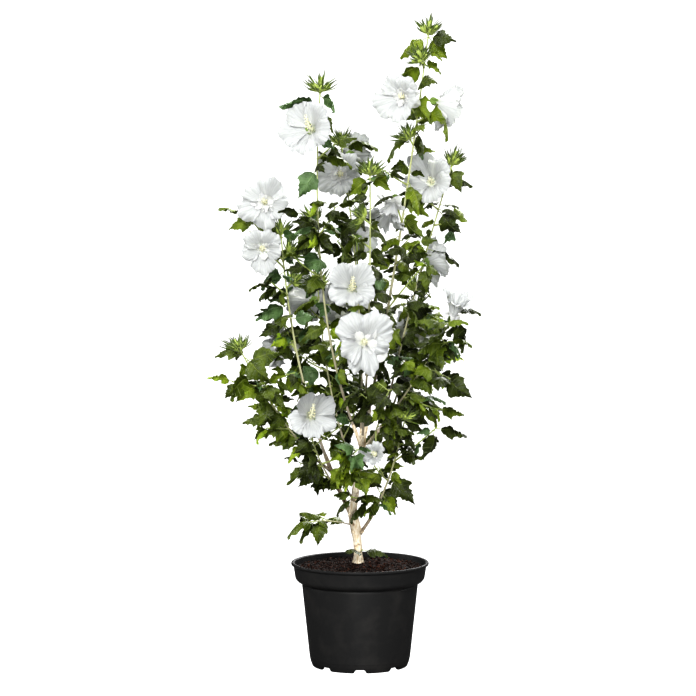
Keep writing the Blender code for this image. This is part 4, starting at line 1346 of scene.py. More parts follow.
    def fits(self, leaf: Leaf) -> bool:
        """Find whether a leaf with clearance round it stays in the space and touches nothing.

        Args:
            leaf: The leaf.

        Returns:
            True if it fits.
        """
        guard = leaf.guard()
        root, tip, left, right = guard[1]
        spots = [tip, left, right, left.lerp(right, 0.5)]
        for a, b in ((root, left), (root, right), (tip, left), (tip, right)):
            spots.extend((a.lerp(b, 0.33), a.lerp(b, 0.67)))
        margins = (self.others.find(spot)[2] - self.own.find(spot)[2] for spot in spots)
        if any(margin < SHOOT.cell_clearance for margin in margins):
            return False
        shape = kites_tree(guard)
        blades = kites_tree([[kite[0].lerp(kite[1], LEAF.neck), *kite[1:]] for kite in guard])
        if shape.overlap(self.obstacles) or blades.overlap(self.wood):
            return False
        grown = [other.corners() for other in self.leaves]
        return not grown or not shape.overlap(kites_tree(grown))

    def fits_young(self, leaf: Leaf) -> bool:
        """Find whether a young leaf, which may lie against others, is clear of the rest.

        Args:
            leaf: The leaf.

        Returns:
            True if it is.
        """
        kite = leaf.corners()
        if kites_tree([kite]).overlap(self.obstacles):
            return False
        blade = [kite[0].lerp(kite[1], 2 * LEAF.neck), *kite[1:]]
        return not kites_tree([blade]).overlap(self.wood)

    def grow_finer(self) -> None:
        """Carry the mass on to twiglets and younger leaves that stay among the leaves it has."""
        parts = (0.4, 0.7, 1.0)
        self.grown = tree_of([leaf.root.lerp(leaf.tip, part) for leaf in self.leaves for part in parts])
        for order, shoot in enumerate(self.shoots):
            nodes = max(2, round(shoot.length() / FINE.step))
            for index in range(nodes):
                share = (index + self.finer.random()) / nodes
                place, axis = shoot.at(min(LEAF.last_root, share))
                turn = index * GOLDEN_ANGLE + self.finer.uniform(-LEAF.sway, LEAF.sway)
                if self.finer.random() < (place.z - FINE.open_above) / (FINE.open_by - FINE.open_above):
                    continue
                spots = [(place, turn)]
                if index % FINE.twiglet_every == 1:
                    spots = self.twiglet_spots(place, axis, turn)
                for root, first in spots:
                    self.try_young(Leaf(root, root, axis, order, share, True), first)

    def twiglet_spots(self, place: Vector, axis: Vector, turn: float) -> list[tuple[Vector, float]]:
        """Add a twiglet where it stays among the leaves.

        Args:
            place: Its foot.
            axis: The direction of its shoot.
            turn: The way it points.

        Returns:
            The root and the first turn of each leaf on it.
        """
        length = self.finer.uniform(*FINE.twiglet)
        way = (polar(turn, self.finer.uniform(*FINE.twiglet_rise)) + axis * FINE.twiglet_lean).normalized()
        twiglet = Shoot([place, place + way * length], [FINE.radius, FINE.radius * 0.7])
        start = place.lerp(twiglet.points[1], 0.3)
        run = twiglet.points[1] - start
        blocked = self.obstacles.ray_cast(start, run.normalized(), run.length)[0] is not None
        if blocked or self.grown.find(twiglet.points[1])[2] > FINE.reach:
            return []
        self.twiglets.append(twiglet)
        count = FINE.twiglet_leaves
        steps = range(count)
        return [(twiglet.at(0.5 + 0.5 * step / count)[0], turn + step * GOLDEN_ANGLE) for step in steps]

    def try_young(self, leaf: Leaf, turn: float) -> None:
        """Try a few ways to set one young leaf.

        Args:
            leaf: The leaf, with its root, its spray and its share.
            turn: The first way it is tried.
        """
        for _ in range(FINE.tries):
            length = self.finer.uniform(*FINE.length)
            slope = self.finer.uniform(*FINE.slope)
            leaf.tip = leaf.root + polar(turn, slope).normalized() * length
            leaf.lift = self.leaf_lift(self.finer)
            turn += LEAF.next_try
            if self.grown.find(leaf.tip)[2] < FINE.reach and self.fits_young(leaf):
                self.leaves.append(leaf)
                return


class Growth:
    """The whole crown, grown by the part's own rule and then carried on to finer twigs."""

    def __init__(self, nodes: dict[str, bpy.types.Object]) -> None:
        """Grow every mass beside the others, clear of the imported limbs, compost and pot.

        Args:
            nodes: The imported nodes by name.
        """
        self.stand = Stand()
        self.masses = [Mass(limb) for limb in LIMBS if limb.bare < 1.0]
        for mass in self.masses:
            mass.grow_twigs(self.others_tree(mass))
        for mass in self.masses:
            mass.grow_buds()
        solid = [node for name, node in nodes.items() if not name.startswith("mass_")]
        limbs = [body_of(node.data, keep=True) for node in solid]
        blooms = [self.stand.bloom(bloom) for mass in self.masses for bloom in mass.blooms]
        shoots = [self.shoot_bodies(mass) for mass in self.masses]
        for index, mass in enumerate(self.masses):
            others = [body for own in shoots[:index] + shoots[index + 1 :] for body in own]
            obstacles = joined_tree(limbs + blooms + others)
            mass.settle(obstacles, self.others_tree(mass), joined_tree(shoots[index]))
            mass.grow_leaves()
            mass.grow_finer()
        LOG.info("%d leaves grown", sum(len(mass.leaves) for mass in self.masses))

    def others_tree(self, mass: Mass) -> KDTree:
        """The skeletons of every mass but one."""
        others = [other for other in self.masses if other is not mass]
        return tree_of([point for other in others for point in other.skeleton()])

    def shoot_bodies(self, mass: Mass) -> list[Body]:
        """Shape a mass's shoots, stalks and bud clusters.

        Args:
            mass: The mass.

        Returns:
            Their bodies.
        """
        bodies = [self.stand.shoot(shoot) for shoot in mass.shoots]
        bodies += [self.stand.stalk(start, end) for start, end in mass.stalks]
        return bodies + [self.stand.cluster(*cluster) for cluster in mass.clusters]


@dataclass(frozen=True)
class LeafShape:
    """One shape of leaf: three toothed lobes that fold along the midrib and droop to a sharp tip.

    Each row of the outline gives a vein's foot on the midrib, how far its tip is from the midrib and
    how far it runs forward, all as shares of the length from the petiole's root to the leaf's tip.
    """

    number: int
    outline: tuple = (
        (0.180, 0.010, 0.000), (0.200, 0.105, -0.002), (0.235, 0.210, 0.012), (0.275, 0.272, 0.036),
        (0.310, 0.288, 0.058), (0.350, 0.340, 0.106), (0.395, 0.342, 0.146), (0.450, 0.244, 0.106),
        (0.515, 0.186, 0.086), (0.575, 0.202, 0.118), (0.635, 0.142, 0.084), (0.690, 0.142, 0.106),
        (0.760, 0.078, 0.060), (0.820, 0.066, 0.056), (0.900, 0.024, 0.022), (1.000, 0.000, 0.000),
    )
    columns: int = 4
    sinus: tuple = (7, 8)
    petiole_end: float = 0.18
    tiles: tuple[int, int] = LEAF_TILES
    inset: float = 0.03
    fold: float = 0.30
    pleat: float = 0.018
    ripple: float = 0.034
    tip_droop: float = 0.55
    droop_from: float = 0.55
    edge_droop: float = 0.10
    weld: float = 1e-4
    # How one shape differs from another: its lobes, arch, fold, bend, twist, curl, fullness and lean
    spans: tuple = (
        (0.86, 1.30), (0.03, 0.16), (0.3, 1.4), (-0.14, 0.14), (-0.7, 0.7), (-0.10, 0.10), (0.86, 1.08),
        (-0.10, 0.10),
    )

    def mesh(self) -> bpy.types.Mesh:
        """Make the shape along X, with its face towards Z and a length of 1.

        Returns:
            The mesh, mapped on its own tile.
        """
        source = random.Random(900 + self.number)
        drawn = [source.uniform(*span) for span in self.spans]
        lobing, arch, folding, bend, twist, curl, fuller, lean = drawn
        fold = self.fold * folding
        ripple = source.uniform(0, FULL_TURN)
        rows = len(self.outline) - 1
        bm = mapped_grid(self.columns, rows)
        tile = (self.number % self.tiles[0], self.number // self.tiles[0] % self.tiles[1])
        for loop in (loop for face in bm.faces for loop in face.loops):
            spot = loop[bm.loops.layers.uv[UV_MAP]].uv
            for axis in range(2):
                inside = self.inset + spot[axis] * (1 - 2 * self.inset)
                spot[axis] = (tile[axis] + inside) / self.tiles[axis]
        for vertex, across, along in corners_of(bm):
            row = round(along * rows)
            foot, half, forward = self.outline[row]
            half *= fuller * (1.0 + lean * (1 if across > 0 else -1))
            if row in self.sinus:
                half *= lobing
            along = foot + forward * abs(across) ** 1.4
            beyond = (along - self.petiole_end) / (1 - self.petiole_end)
            side = across * half
            # The arch is highest a third of the way on, where 6.75 makes the product 1
            high = arch * 6.75 * beyond * (1 - beyond) ** 2 - fold * abs(side) + curl * side * side * 4
            high += self.pleat * (1 if row % 2 else -1) * abs(across)
            high -= self.edge_droop * abs(across) ** 2 * beyond
            high -= self.tip_droop * max(0.0, beyond - self.droop_from) ** 2
            high += self.ripple * abs(across) ** 2 * math.sin(1.1 * row + ripple + 1.6 * across)
            turn = twist * beyond * (1 - beyond) * 2
            drift = bend * beyond * (1 - beyond)
            vertex.co = (
                along,
                side * math.cos(turn) - high * math.sin(turn) + drift,
                side * math.sin(turn) + high * math.cos(turn),
            )
        bmesh.ops.remove_doubles(bm, verts=bm.verts, dist=self.weld)
        return mesh_from(bm, f"leaf_shape_{self.number}")


@dataclass
class Foliage:
    """Every leaf of the crown, dealt a green by its spray and joined by green."""

    growth: Growth
    shapes: int = LEAF_TILES[0] * LEAF_TILES[1]
    seed: int = 77
    own_tint: float = 0.45
    brighter_young: float = 0.16
    level: float = 0.3
    finishes: tuple = (
        LeafBlade(Tint.DEEP, "#3e4919", "#22290b", "#6b7835"),
        LeafBlade(Tint.MID, "#586620", "#384510", "#889541"),
        LeafBlade(Tint.FRESH, "#728224", "#536417", "#a1aa4d"),
        LeafBlade(Tint.YOUNG, "#96aa34", "#738c20", "#bcc66c"),
        LeafBlade(Tint.SAGE, "#627c50", "#445b36", "#8fa578"),
    )
    common: tuple = (0.44, 0.34, 0.12, 0.02, 0.08)
    sunny: tuple = (0.24, 0.32, 0.24, 0.11, 0.09)
    sunny_limbs: tuple = ("far_left", "left_low", "centre_low")
    level_limbs: tuple = ("low_left", "foot_sprout")

    def build(self) -> None:
        """Make the leaves, one piece for each green."""
        shapes = [LeafShape(number).mesh() for number in range(self.shapes)]
        pieces = {finish.tint: Joined(f"leaves_{finish.tint.value}") for finish in self.finishes}
        source = random.Random(self.seed)
        tints = [finish.tint for finish in self.finishes]
        for mass in self.growth.masses:
            weights = self.sunny if mass.limb.name in self.sunny_limbs else self.common
            sprays: dict[int, Tint] = {}
            for leaf in mass.leaves:
                sprays.setdefault(leaf.spray, source.choices(tints, weights)[0])
                tint = sprays[leaf.spray]
                if source.random() < self.own_tint:
                    tint = source.choices(tints, weights)[0]
                if leaf.young and source.random() < self.brighter_young:
                    tint = Tint.FRESH if tint in (Tint.MID, Tint.DEEP) else Tint.YOUNG
                if mass.limb.name in self.level_limbs:
                    leaf.lift = Vector((self.level * leaf.lift.x, self.level * leaf.lift.y, 1.0))
                pieces[tint].add(source.choice(shapes), self.place_of(leaf), keep=True)
        for finish in self.finishes:
            pieces[finish.tint].piece(finish.material())
        for shape in shapes:
            bpy.data.meshes.remove(shape)

    def place_of(self, leaf: Leaf) -> Matrix:
        """Find how a shape of length 1 lies from a leaf's root to its tip.

        Args:
            leaf: The leaf.

        Returns:
            The matrix.
        """
        length = (leaf.tip - leaf.root).length
        forward = (leaf.tip - leaf.root) / length
        side = leaf.lift.cross(forward).normalized()
        axes = Matrix((forward, side, forward.cross(side).normalized())).transposed().to_4x4()
        return Matrix.Translation(leaf.root) @ axes @ Matrix.Scale(length, 4)


@dataclass
class Shoots:
    """Stems, twigs, twiglets, petioles and flower stalks, as smooth round shoots with swollen nodes."""

    growth: Growth
    slim: float = 0.64
    stem_step: float = 0.0045
    stem_sides: int = 10
    twig_sides: int = 7
    petiole_sides: int = 4
    node_step: float = 0.034
    node_swell: float = 0.20
    node_width: float = 0.0035
    twig_collar: float = 0.5
    twig_collar_length: float = 0.003
    bow: float = 0.03
    petiole_radius: float = 0.00075
    seed: int = 31

    def build(self) -> None:
        """Make the stems, twigs and petioles."""
        source = random.Random(self.seed)
        stems, twigs, petioles = Joined("stems"), Joined("twigs"), Joined("petioles")
        for mass in self.growth.masses:
            stems.add(self.stem(mass))
            stalks = [(mass.on_stem(bloom.share), bloom.hung_point()) for bloom in mass.blooms]
            stalks += mass.stalks[len(mass.blooms) :]
            radii = [SHOOT.stalk_radius, SHOOT.stalk_radius * 0.9]
            for shoot in mass.shoots[1:] + [Shoot(list(stalk), radii) for stalk in stalks]:
                twigs.add(self.twig(shoot, source))
            for leaf in mass.leaves:
                petioles.add(self.petiole(leaf))
        for shoot in [twiglet for mass in self.growth.masses for twiglet in mass.twiglets]:
            twigs.add(self.twig(shoot, source))
        stems.piece(GreenShoot().material())
        # Young twigs and leaf stalks are green from foot to tip
        green = GreenShoot("green_twig", "#9aa166", "#8c9c54", "#8ba04a").material()
        twigs.piece(green)
        petioles.piece(green)

    def swelling(self, distance: float) -> float:
        """How much thicker a stem is at a distance from its foot, round its nodes."""
        off = abs((distance + self.node_step / 2) % self.node_step - self.node_step / 2)
        return self.node_swell * math.exp(-((off / self.node_width) ** 2))

    def stem(self, mass: Mass) -> bpy.types.Mesh:
        """Make the smooth stem of a mass, on the limb's own curve.

        Args:
            mass: The mass.

        Returns:
            The stem's mesh.
        """
        length = mass.shoots[0].length()
        steps = max(6, round(length / self.stem_step))
        points, radii = mass.limb.run(mass.start, 1.0, steps)
        for index in range(steps + 1):
            radii[index] *= self.slim * (1.0 + self.swelling(index * (length / steps)))
        return rolled_tube("stem", points, radii, self.stem_sides)

    def twig(self, shoot: Shoot, source: random.Random) -> bpy.types.Mesh:
        """Make a twig that bows a little between its ends.

        Args:
            shoot: The twig's two ends with a radius each.
            source: The random numbers.

        Returns:
            The twig's mesh.
        """
        start, end = shoot.points
        thick, thin = shoot.radii
        length = (end - start).length
        steps = max(3, round(length / (2 * self.stem_step)))
        aside = Vector((source.uniform(-1, 1), source.uniform(-1, 1), source.uniform(-1, 0)))
        bow = aside * length * self.bow
        points, radii = [], []
        for index in range(steps + 1):
            share = index / steps
            points.append(start.lerp(end, share) + bow * (4 * share * (1 - share)))
            collar = self.twig_collar * math.exp(-((share * length / self.twig_collar_length) ** 2))
            swell = self.node_swell * (1.0 if index % 3 == 2 else 0.0)
            radii.append((thick + (thin - thick) * share) * (1.0 + collar + swell))
        return rolled_tube("twig", points, radii, self.twig_sides)

    def petiole(self, leaf: Leaf) -> bpy.types.Mesh:
        """Make the thin stalk of a leaf, from its shoot to the foot of its blade.

        Args:
            leaf: The leaf.

        Returns:
            The stalk's mesh.
        """
        end = leaf.root.lerp(leaf.tip, LeafShape.petiole_end + 0.02)
        radius = self.petiole_radius * (0.7 if leaf.young else 1.0)
        rise = Vector((0.0, 0.0, (end - leaf.root).length * 0.10))
        points = [leaf.root, leaf.root.lerp(end, 0.5) + rise, end]
        return rolled_tube("petiole", points, [radius * 1.3, radius, radius * 0.8], self.petiole_sides)


@dataclass
class Wood:
    """The trunk and the boughs, with the ridges, knots and collars of their bark.

    Each stub is a pruned shoot: its foot, the way it points and its length. Each knot is a scar on the
    trunk: its distance from the foot and its turn.
    """

    bark: SmoothBark = SmoothBark("pale_hibiscus_bark", "#f1e9d8", "#cdb996", "#7a5436")
    young_bark: SmoothBark = SmoothBark("brown_hibiscus_bark", "#bdb09c", "#8c7c68", "#4f3f31")
    brown_boughs: tuple = (
        "right_low", "left", "left_low", "centre_low", "far_left", "back_left", "back_right",
    )
    sides: int = 28
    ring_step: float = 0.0014
    ridge: float = 0.055
    collar: float = 0.45
    collar_length: float = 0.006
    cap: float = 0.0015
    slim: float = 0.84
    stubs: tuple = (
        ((-0.006, 0.004, 0.2145), (-0.85, -0.35, 0.45), 0.0085),
        ((0.002, 0.003, 0.2170), (0.90, -0.20, 0.25), 0.0060),
        ((-0.002, 0.003, 0.1980), (0.35, -0.90, 0.30), 0.0040),
    )
    knots: tuple = ((0.026, 1.0), (0.041, 3.6), (0.055, 5.4), (0.068, 2.2), (0.075, 0.4))
    knot: float = 0.13
    knot_height: float = 0.0032
    knot_width: float = 0.28
    lobe: float = 0.10
    lobe_height: float = 0.016

    def build(self) -> None:
        """Make the trunk and the boughs."""
        trunk, pale, brown = (
            Joined(name, mapped=False) for name in ("trunk_bark", "bough_bark_pale", "bough_bark_brown")
        )
        trunk.add(self.trunk())
        for foot, way, length in self.stubs:
            trunk.add(self.stub(Vector(foot), Vector(way).normalized() * length))
        nodes = {pale: [], brown: []}
        for index, limb in enumerate(LIMBS):
            if limb.bare > 0.0:
                piece = brown if limb.name in self.brown_boughs else pale
                piece.add(self.bough(limb, index))
                nodes[piece].append(f"bough_{limb.name}")
        material = self.bark.material()
        trunk.piece(material, Slot.BARK, ["trunk"])
        pale.piece(material, Slot.BARK, nodes[pale])
        brown.piece(self.young_bark.material(), Slot.BARK, nodes[brown])

    def relief(self, seed: int, turn: float, distance: float) -> float:
        """Find the bark's relief at one place: long ridges and shorter lumps.

        Args:
            seed: Sets one limb's relief apart from another's.
            turn: The turn about the limb.
            distance: How far along it.

        Returns:
            The extra share of the radius.
        """
        long = smooth_noise(*cylindrical(2.2, turn, distance * 55 + seed * 9.7))
        short = smooth_noise(*cylindrical(5.0, turn, distance * 260 + seed * 3.1))
        return self.ridge * (long * 1.6 + short * 0.8)

    def trunk_relief(self, turn: float, distance: float) -> float:
        """Find the trunk's relief, with three lobes near its foot and knots where shoots were shed.

        Args:
            turn: The turn about the trunk.
            distance: How far up it.

        Returns:
            The extra share of the radius.
        """
        lobes = self.lobe * max(0.0, 1.0 - distance / self.lobe_height) * math.cos(3 * turn + 0.6)
        knots = 0.0
        for at, way in self.knots:
            up, aside = (distance - at) / self.knot_height, math.sin((turn - way) / 2) / self.knot_width
            knots += self.knot * math.exp(-(up ** 2) - aside ** 2)
        return self.relief(1, turn, distance) + lobes + knots

    def trunk(self) -> bpy.types.Mesh:
        """Make the trunk, with root lobes at its foot and a swelling under each bough.

        Returns:
            The trunk's mesh.
        """
        rough, _ = trunk_rings(1)
        steps = round(Shoot(rough, []).length() / self.ring_step)
        shares = [index / steps for index in range(steps + 1)]
        points, radii = [TRUNK.along(share) for share in shares], [self.flare(share) for share in shares]
        return rolled_tube("trunk", points, radii, self.sides, self.trunk_relief)

    def flare(self, share: float) -> float:
        """Find the trunk's radius, eased between the rows of its table.

        Args:
            share: The share of its height.

        Returns:
            The radius.
        """
        for (low, radius), (high, next_radius) in zip(TRUNK_FLARE, TRUNK_FLARE[1:]):
            if share <= high:
                part = (share - low) / (high - low)
                return radius + (next_radius - radius) * part * part * (3 - 2 * part)
        return TRUNK_FLARE[-1][1]

    def bough(self, limb: Limb, number: int) -> bpy.types.Mesh:
        """Make one bough, wider at its collar and closed inside the stem that carries it on.

        Args:
            limb: The bough's limb.
            number: Sets its relief apart.

        Returns:
            Its mesh.
        """
        rough, _ = limb.run(0.0, limb.bare, 8)
        length = Shoot(rough, []).length()
        steps = max(8, round(length / self.ring_step))
        points, radii = limb.run(0.0, limb.bare, steps)
        for index in range(0 if limb.name in CARRIED_ON else steps + 1):
            distance = length * index / steps
            swell = self.collar * math.exp(-(distance / self.collar_length) ** 2 / 2)
            radii[index] *= self.slim * (1.0 + swell)
        points.append(points[-1] + limb.heading(limb.bare) * self.cap)
        radii.append(radii[-1] * 0.6)
        return rolled_tube("bough", points, radii, self.sides, partial(self.relief, number + 2))

    def stub(self, foot: Vector, run: Vector) -> bpy.types.Mesh:
        """The short dead stub of a pruned shoot."""
        return rolled_tube("stub", [foot, foot + run * 0.6, foot + run], [0.0016, 0.0010, 0.0007], 8)


@dataclass(frozen=True)
class PetalHabit:
    """How one kind of flower spreads and ruffles its outer petals, in shares of the flower's radius."""

    broad: float
    ruffle: float
    crimp: float
    tilt: tuple
    sizes: tuple
    crinkle: float
    erose: float


SINGLE = PetalHabit(math.radians(48), 0.045, 0.022, (-0.16, 0.10), (0.90, 1.10), 0.050, 0.06)
DOUBLE = PetalHabit(math.radians(49), 0.110, 0.044, (-0.30, 0.26), (0.82, 1.24), 0.090, 0.16)


@dataclass
class Flower:
    """One flower in its own frame: outer and inner petals, stamen column, stamens and calyx."""

    bloom: Bloom
    source: random.Random
    petals: int = PETALS
    columns: int = 28
    rows: int = 13
    narrow: float = math.radians(37)
    pleats: float = 7.0
    pleat: float = 0.012
    teeth: float = 0.060
    crimps: float = 8.0
    round_off: float = 0.30
    cup: float = 1.7
    overlap: float = 0.075
    dish: float = 0.10
    curl: float = 0.7
    curl_from: float = 0.66
    margin_wave: float = 0.03
    hood_shortening: float = 0.34
    crowded: int = 16
    column_radius: float = 0.0015
    column_steps: int = 8
    stigma: tuple = (0.0022, 0.0016)
    stigma_radius: float = 0.0010
    stamens_open: int = 34
    stamens_crowded: int = 16
    filament_radius: float = 0.00042
    filament: tuple = (0.0036, 0.0068)
    anther_radius: float = 0.00085
    bracts: int = 7
    bract: tuple = (0.013, 0.0020, 0.5)
    sepal: tuple = (0.017, 0.0105, 0.35)

    def __post_init__(self) -> None:
        """Work out its radius, its depth and its habit."""
        self.radius = self.bloom.width / 2
        self.deep = self.bloom.width * self.bloom.depth
        self.habit = DOUBLE if self.bloom.inner and not self.bloom.even else SINGLE

    def petal(self, index: int) -> bpy.types.Mesh:
        """Make one broad petal, ruffled along its margin.

        Args:
            index: The petal's number round the flower, the first two uppermost.

        Returns:
            The petal's mesh.
        """
        source, radius, habit = self.source, self.radius, self.habit
        around = FULL_TURN * (index + 0.75) / self.petals + source.uniform(-0.10, 0.10)
        hood = self.bloom.hood if index < 2 else 0.0
        size = source.uniform(*habit.sizes)
        if self.bloom.reach:
            size = self.bloom.reach[index]
        elif index < 2:
            size *= 1.08 + 0.10 * hood
        tilt = source.uniform(*habit.tilt)
        ruffle = habit.ruffle * source.uniform(0.7, 1.3)
        slow, slow_phase = source.uniform(1.6, 2.6), source.uniform(0, FULL_TURN)
        quick, quick_phase = source.uniform(4.0, 6.0), source.uniform(0, FULL_TURN)
        drift = source.uniform(0, 50)
        bm = mapped_grid(self.columns, self.rows)
        for vertex, across, out in corners_of(bm):
            spread = min(1.0, out * 1.6)
            half = self.narrow + (habit.broad - self.narrow) * spread * spread * (3 - 2 * spread)
            margin = out ** 3
            erose = smooth_noise(across * 3.1 + drift, 0.0, drift)
            teeth = self.teeth * smooth_noise(across * 9.0 + drift, 2.0, drift)
            reach = size * (1.0 - self.round_off * abs(across) ** 2.3 + habit.erose * erose + teeth)
            wave = math.sin(slow * math.pi * across + slow_phase)
            wave += 0.5 * math.sin(quick * math.pi * across + quick_phase)
            crinkle = smooth_noise(across * 2.2 + drift, out * 2.5, drift)
            fine = smooth_noise(across * 7.0 + drift, out * 5.0, drift)
            distance = radius * (0.05 + (reach - 0.05) * out) * (1.0 + self.margin_wave * margin * wave)
            distance *= 1.0 - self.hood_shortening * hood * margin
            curl = self.curl * (1.0 - hood) * max(0.0, out - self.curl_from) ** 2
            high = -self.deep * (1.0 - out) ** self.cup
            high += radius * (self.overlap * across * spread + ruffle * margin * wave)
            high += radius * (tilt * out * out + hood * out ** 1.6)
            high += radius * out * (habit.crinkle * crinkle + 0.35 * habit.crinkle * fine)
            high -= radius * (self.dish * across * across * out + curl)
            high += radius * self.pleat * out * math.cos(self.pleats * math.pi * across)
            high += radius * habit.crimp * out ** 6 * math.sin(self.crimps * math.pi * across + drift)
            vertex.co = cylindrical(distance, around + half * across, high)
        return mesh_from(bm, "petal")

    def inner_petal(self, index: int) -> bpy.types.Mesh:
        """Make one of the crumpled petals that crowd a double flower's throat.

        Args:
            index: The petal's number, from the middle outwards.

        Returns:
            The petal's mesh.
        """
        source, radius = self.source, self.radius
        full = min(1.0, self.bloom.inner / self.crowded)
        ring = index / self.bloom.inner
        turn = index * GOLDEN_ANGLE + source.uniform(-0.3, 0.3)
        rise = math.radians((64 - 44 * ring) * (0.2 + 0.8 * full) + source.uniform(-14, 14) * full)
        length = radius * (0.36 + 0.40 * ring) * (1.3 - 0.3 * full) * source.uniform(0.80, 1.20)
        width = radius * source.uniform(0.12, 0.30) * (1.3 - 0.3 * full)
        twist = source.uniform(-0.9, 0.9)
        phase = source.uniform(0, FULL_TURN)
        drift = source.uniform(0, 50)
        bm = mapped_grid(8, 8)
        for vertex, across, out in corners_of(bm):
            half = width * (0.18 + 0.95 * math.sin(min(1.0, out * 1.12) * math.pi * 0.62))
            lift = rise + (0.5 - 1.4 * full) * out * out
            side = across * half * (1.0 - 0.25 * out ** 4)
            crumple = smooth_noise(across * 1.7 + drift, out * 2.6, drift)
            wave = width * out * (0.20 * math.sin(5.2 * across + phase) + 0.24 * crumple)
            reach = length * out * (1.0 - 0.16 * across * across + 0.10 * crumple)
            flat = radius * 0.06 + reach * math.cos(lift)
            high = -self.deep * 0.80 + reach * math.sin(lift) + wave + 0.12 * half * across * across
            vertex.co = (flat, side * math.cos(twist * out), high + side * math.sin(twist * out))
        bmesh.ops.transform(bm, matrix=Matrix.Rotation(turn, 4, "Z"), verts=bm.verts)
        return mesh_from(bm, "inner_petal")

    def column_point(self, share: float) -> Vector:
        """Find the middle of the column, which curves up.

        Args:
            share: The share of the column's height.

        Returns:
            The point.
        """
        foot = -self.deep * 0.96
        length = self.bloom.width * (0.24 if self.bloom.inner else 0.38)
        rise = length * (0.15 if self.bloom.inner else 0.55)
        return Vector((0.0, rise * share * share, foot + length * share * (1.0 - 0.12 * share)))

    def column(self) -> list[bpy.types.Mesh]:
        """Make the stamen column, and a stigma lobe for each petal at its top.

        Returns:
            Their meshes.
        """
        steps = range(self.column_steps + 1)
        points = [self.column_point(index / self.column_steps) for index in steps]
        radii = [self.column_radius * (1.5 - index / 10) for index in steps]
        made = [rolled_tube("column", points, radii, 8)]
        reach, rise = self.stigma
        for index in range(self.petals):
            spot = points[-1] + Vector(cylindrical(reach, FULL_TURN * index / self.petals, rise))
            made.append(bead("stigma", Matrix.Translation(spot), self.stigma_radius))
        return made

    def stamens(self) -> tuple[list[bpy.types.Mesh], list[bpy.types.Mesh]]:
        """Make the stamens that stand out of the column all round.

        Returns:
            The meshes of their filaments, and those of their anthers.
        """
        filaments, anthers = [], []
        count = self.stamens_crowded if self.bloom.inner else self.stamens_open
        for index in range(count):
            share = 0.26 + 0.68 * index / count
            way = polar(index * GOLDEN_ANGLE, 0.55).normalized()
            start = self.column_point(share)
            length = self.source.uniform(*self.filament) * (1.25 - 0.6 * share)
            thick, tip = self.filament_radius, Matrix.Translation(start + way * length)
            filaments.append(rod("filament", laid(start + way * length / 2, way), length, thick, thick * 0.6))
            anthers.append(bead("anther", tip, self.anther_radius))
        return filaments, anthers

    def calyx(self) -> list[bpy.types.Mesh]:
        """Make a sepal between each two petals and a ring of narrow bracts behind them.

        Returns:
            Their meshes.
        """
        slope = math.atan2(self.deep, self.radius)
        made = []
        for index in range(self.petals):
            turn = FULL_TURN * (index + 0.5) / self.petals
            made.append(blade(-self.deep - 0.0045, turn, slope * 0.75 + 0.25, *self.sepal))
        for index in range(self.bracts):
            turn = FULL_TURN * index / self.bracts
            made.append(blade(-self.deep - 0.0055, turn, slope * 0.35, *self.bract))
        return made


@dataclass
class Blossom:
    """Every flower of the crown, joined by what its parts are made of."""

    seed: int = 500

    def build(self) -> None:
        """Make all the flowers."""
        petals, inner = Joined("petals"), Joined("inner_petals")
        columns, anthers, calyces = (
            Joined(name, mapped=False) for name in ("stamen_columns", "anthers", "calyces")
        )
        for number, bloom in enumerate(BLOOMS):
            flower = Flower(bloom, random.Random(self.seed + number))
            outer = [flower.petal(index) for index in range(flower.petals)]
            crowd = [flower.inner_petal(index) for index in range(bloom.inner)]
            filaments, tips = flower.stamens()
            for piece, meshes in (
                (petals, outer),
                (inner, crowd),
                (columns, flower.column() + filaments),
                (anthers, tips),
                (calyces, flower.calyx()),
            ):
                for mesh in meshes:
                    piece.add(mesh, bloom.shown())
        petals.piece(PetalTissue().material())
        # Inner petals are warmer, as light comes through one petal to the next
        inner.piece(PetalTissue("inner_petal_tissue", "#cfd0cc", "#ced3b6", "#bcbfbc", 5.0).material())
        # A waxy cream column, mealy yellow anthers, and a green skin that holds them
        for piece, finish in (
            (columns, SoftTissue("stamen_column", "#e6e6cc", 0.6)),
            (anthers, SoftTissue("anther_meal", "#ebe6bf", 0.8)),
            (calyces, SoftTissue("calyx_skin", "#7c9645", 0.6)),
        ):
            piece.piece(finish.material())


def bead(name: str, place: Matrix, radius: float) -> bpy.types.Mesh:
    """Make a small round bead.

    Args:
        name: The mesh's name.
        place: The matrix that lays it.
        radius: Its radius.

    Returns:
        Its mesh.
    """
    bm = bmesh.new()
    bmesh.ops.create_icosphere(bm, subdivisions=1, radius=radius, matrix=place)
    return mesh_from(bm, name)


def blade(
    foot: float, turn: float, rise: float, length: float, width: float, hook: float
) -> bpy.types.Mesh:
    """Make a small pointed blade, such as a sepal or a bract, that hooks up towards its tip.

    Args:
        foot: How high on the Z axis it starts.
        turn: The way it points, about Z.
        rise: How steeply it rises from its foot.
        length: Its length.
        width: Its greatest width.
        hook: How much steeper it is at its tip.

    Returns:
        Its mesh.
    """
    bm = mapped_grid(2, 4)
    for vertex, across, out in corners_of(bm):
        half = width / 2 * math.sin(math.pi * min(1.0, 0.25 + out * 0.75)) ** 0.8
        steep = rise + hook * out
        high = length * out * math.sin(steep) + 0.25 * half * across * across
        vertex.co = (length * out * math.cos(steep), across * half, high)
    bmesh.ops.remove_doubles(bm, verts=bm.verts, dist=1e-5)
    place = Matrix.Translation((0, 0, foot)) @ Matrix.Rotation(turn, 4, "Z")
    bmesh.ops.transform(bm, matrix=place, verts=bm.verts)
    return mesh_from(bm, "blade")


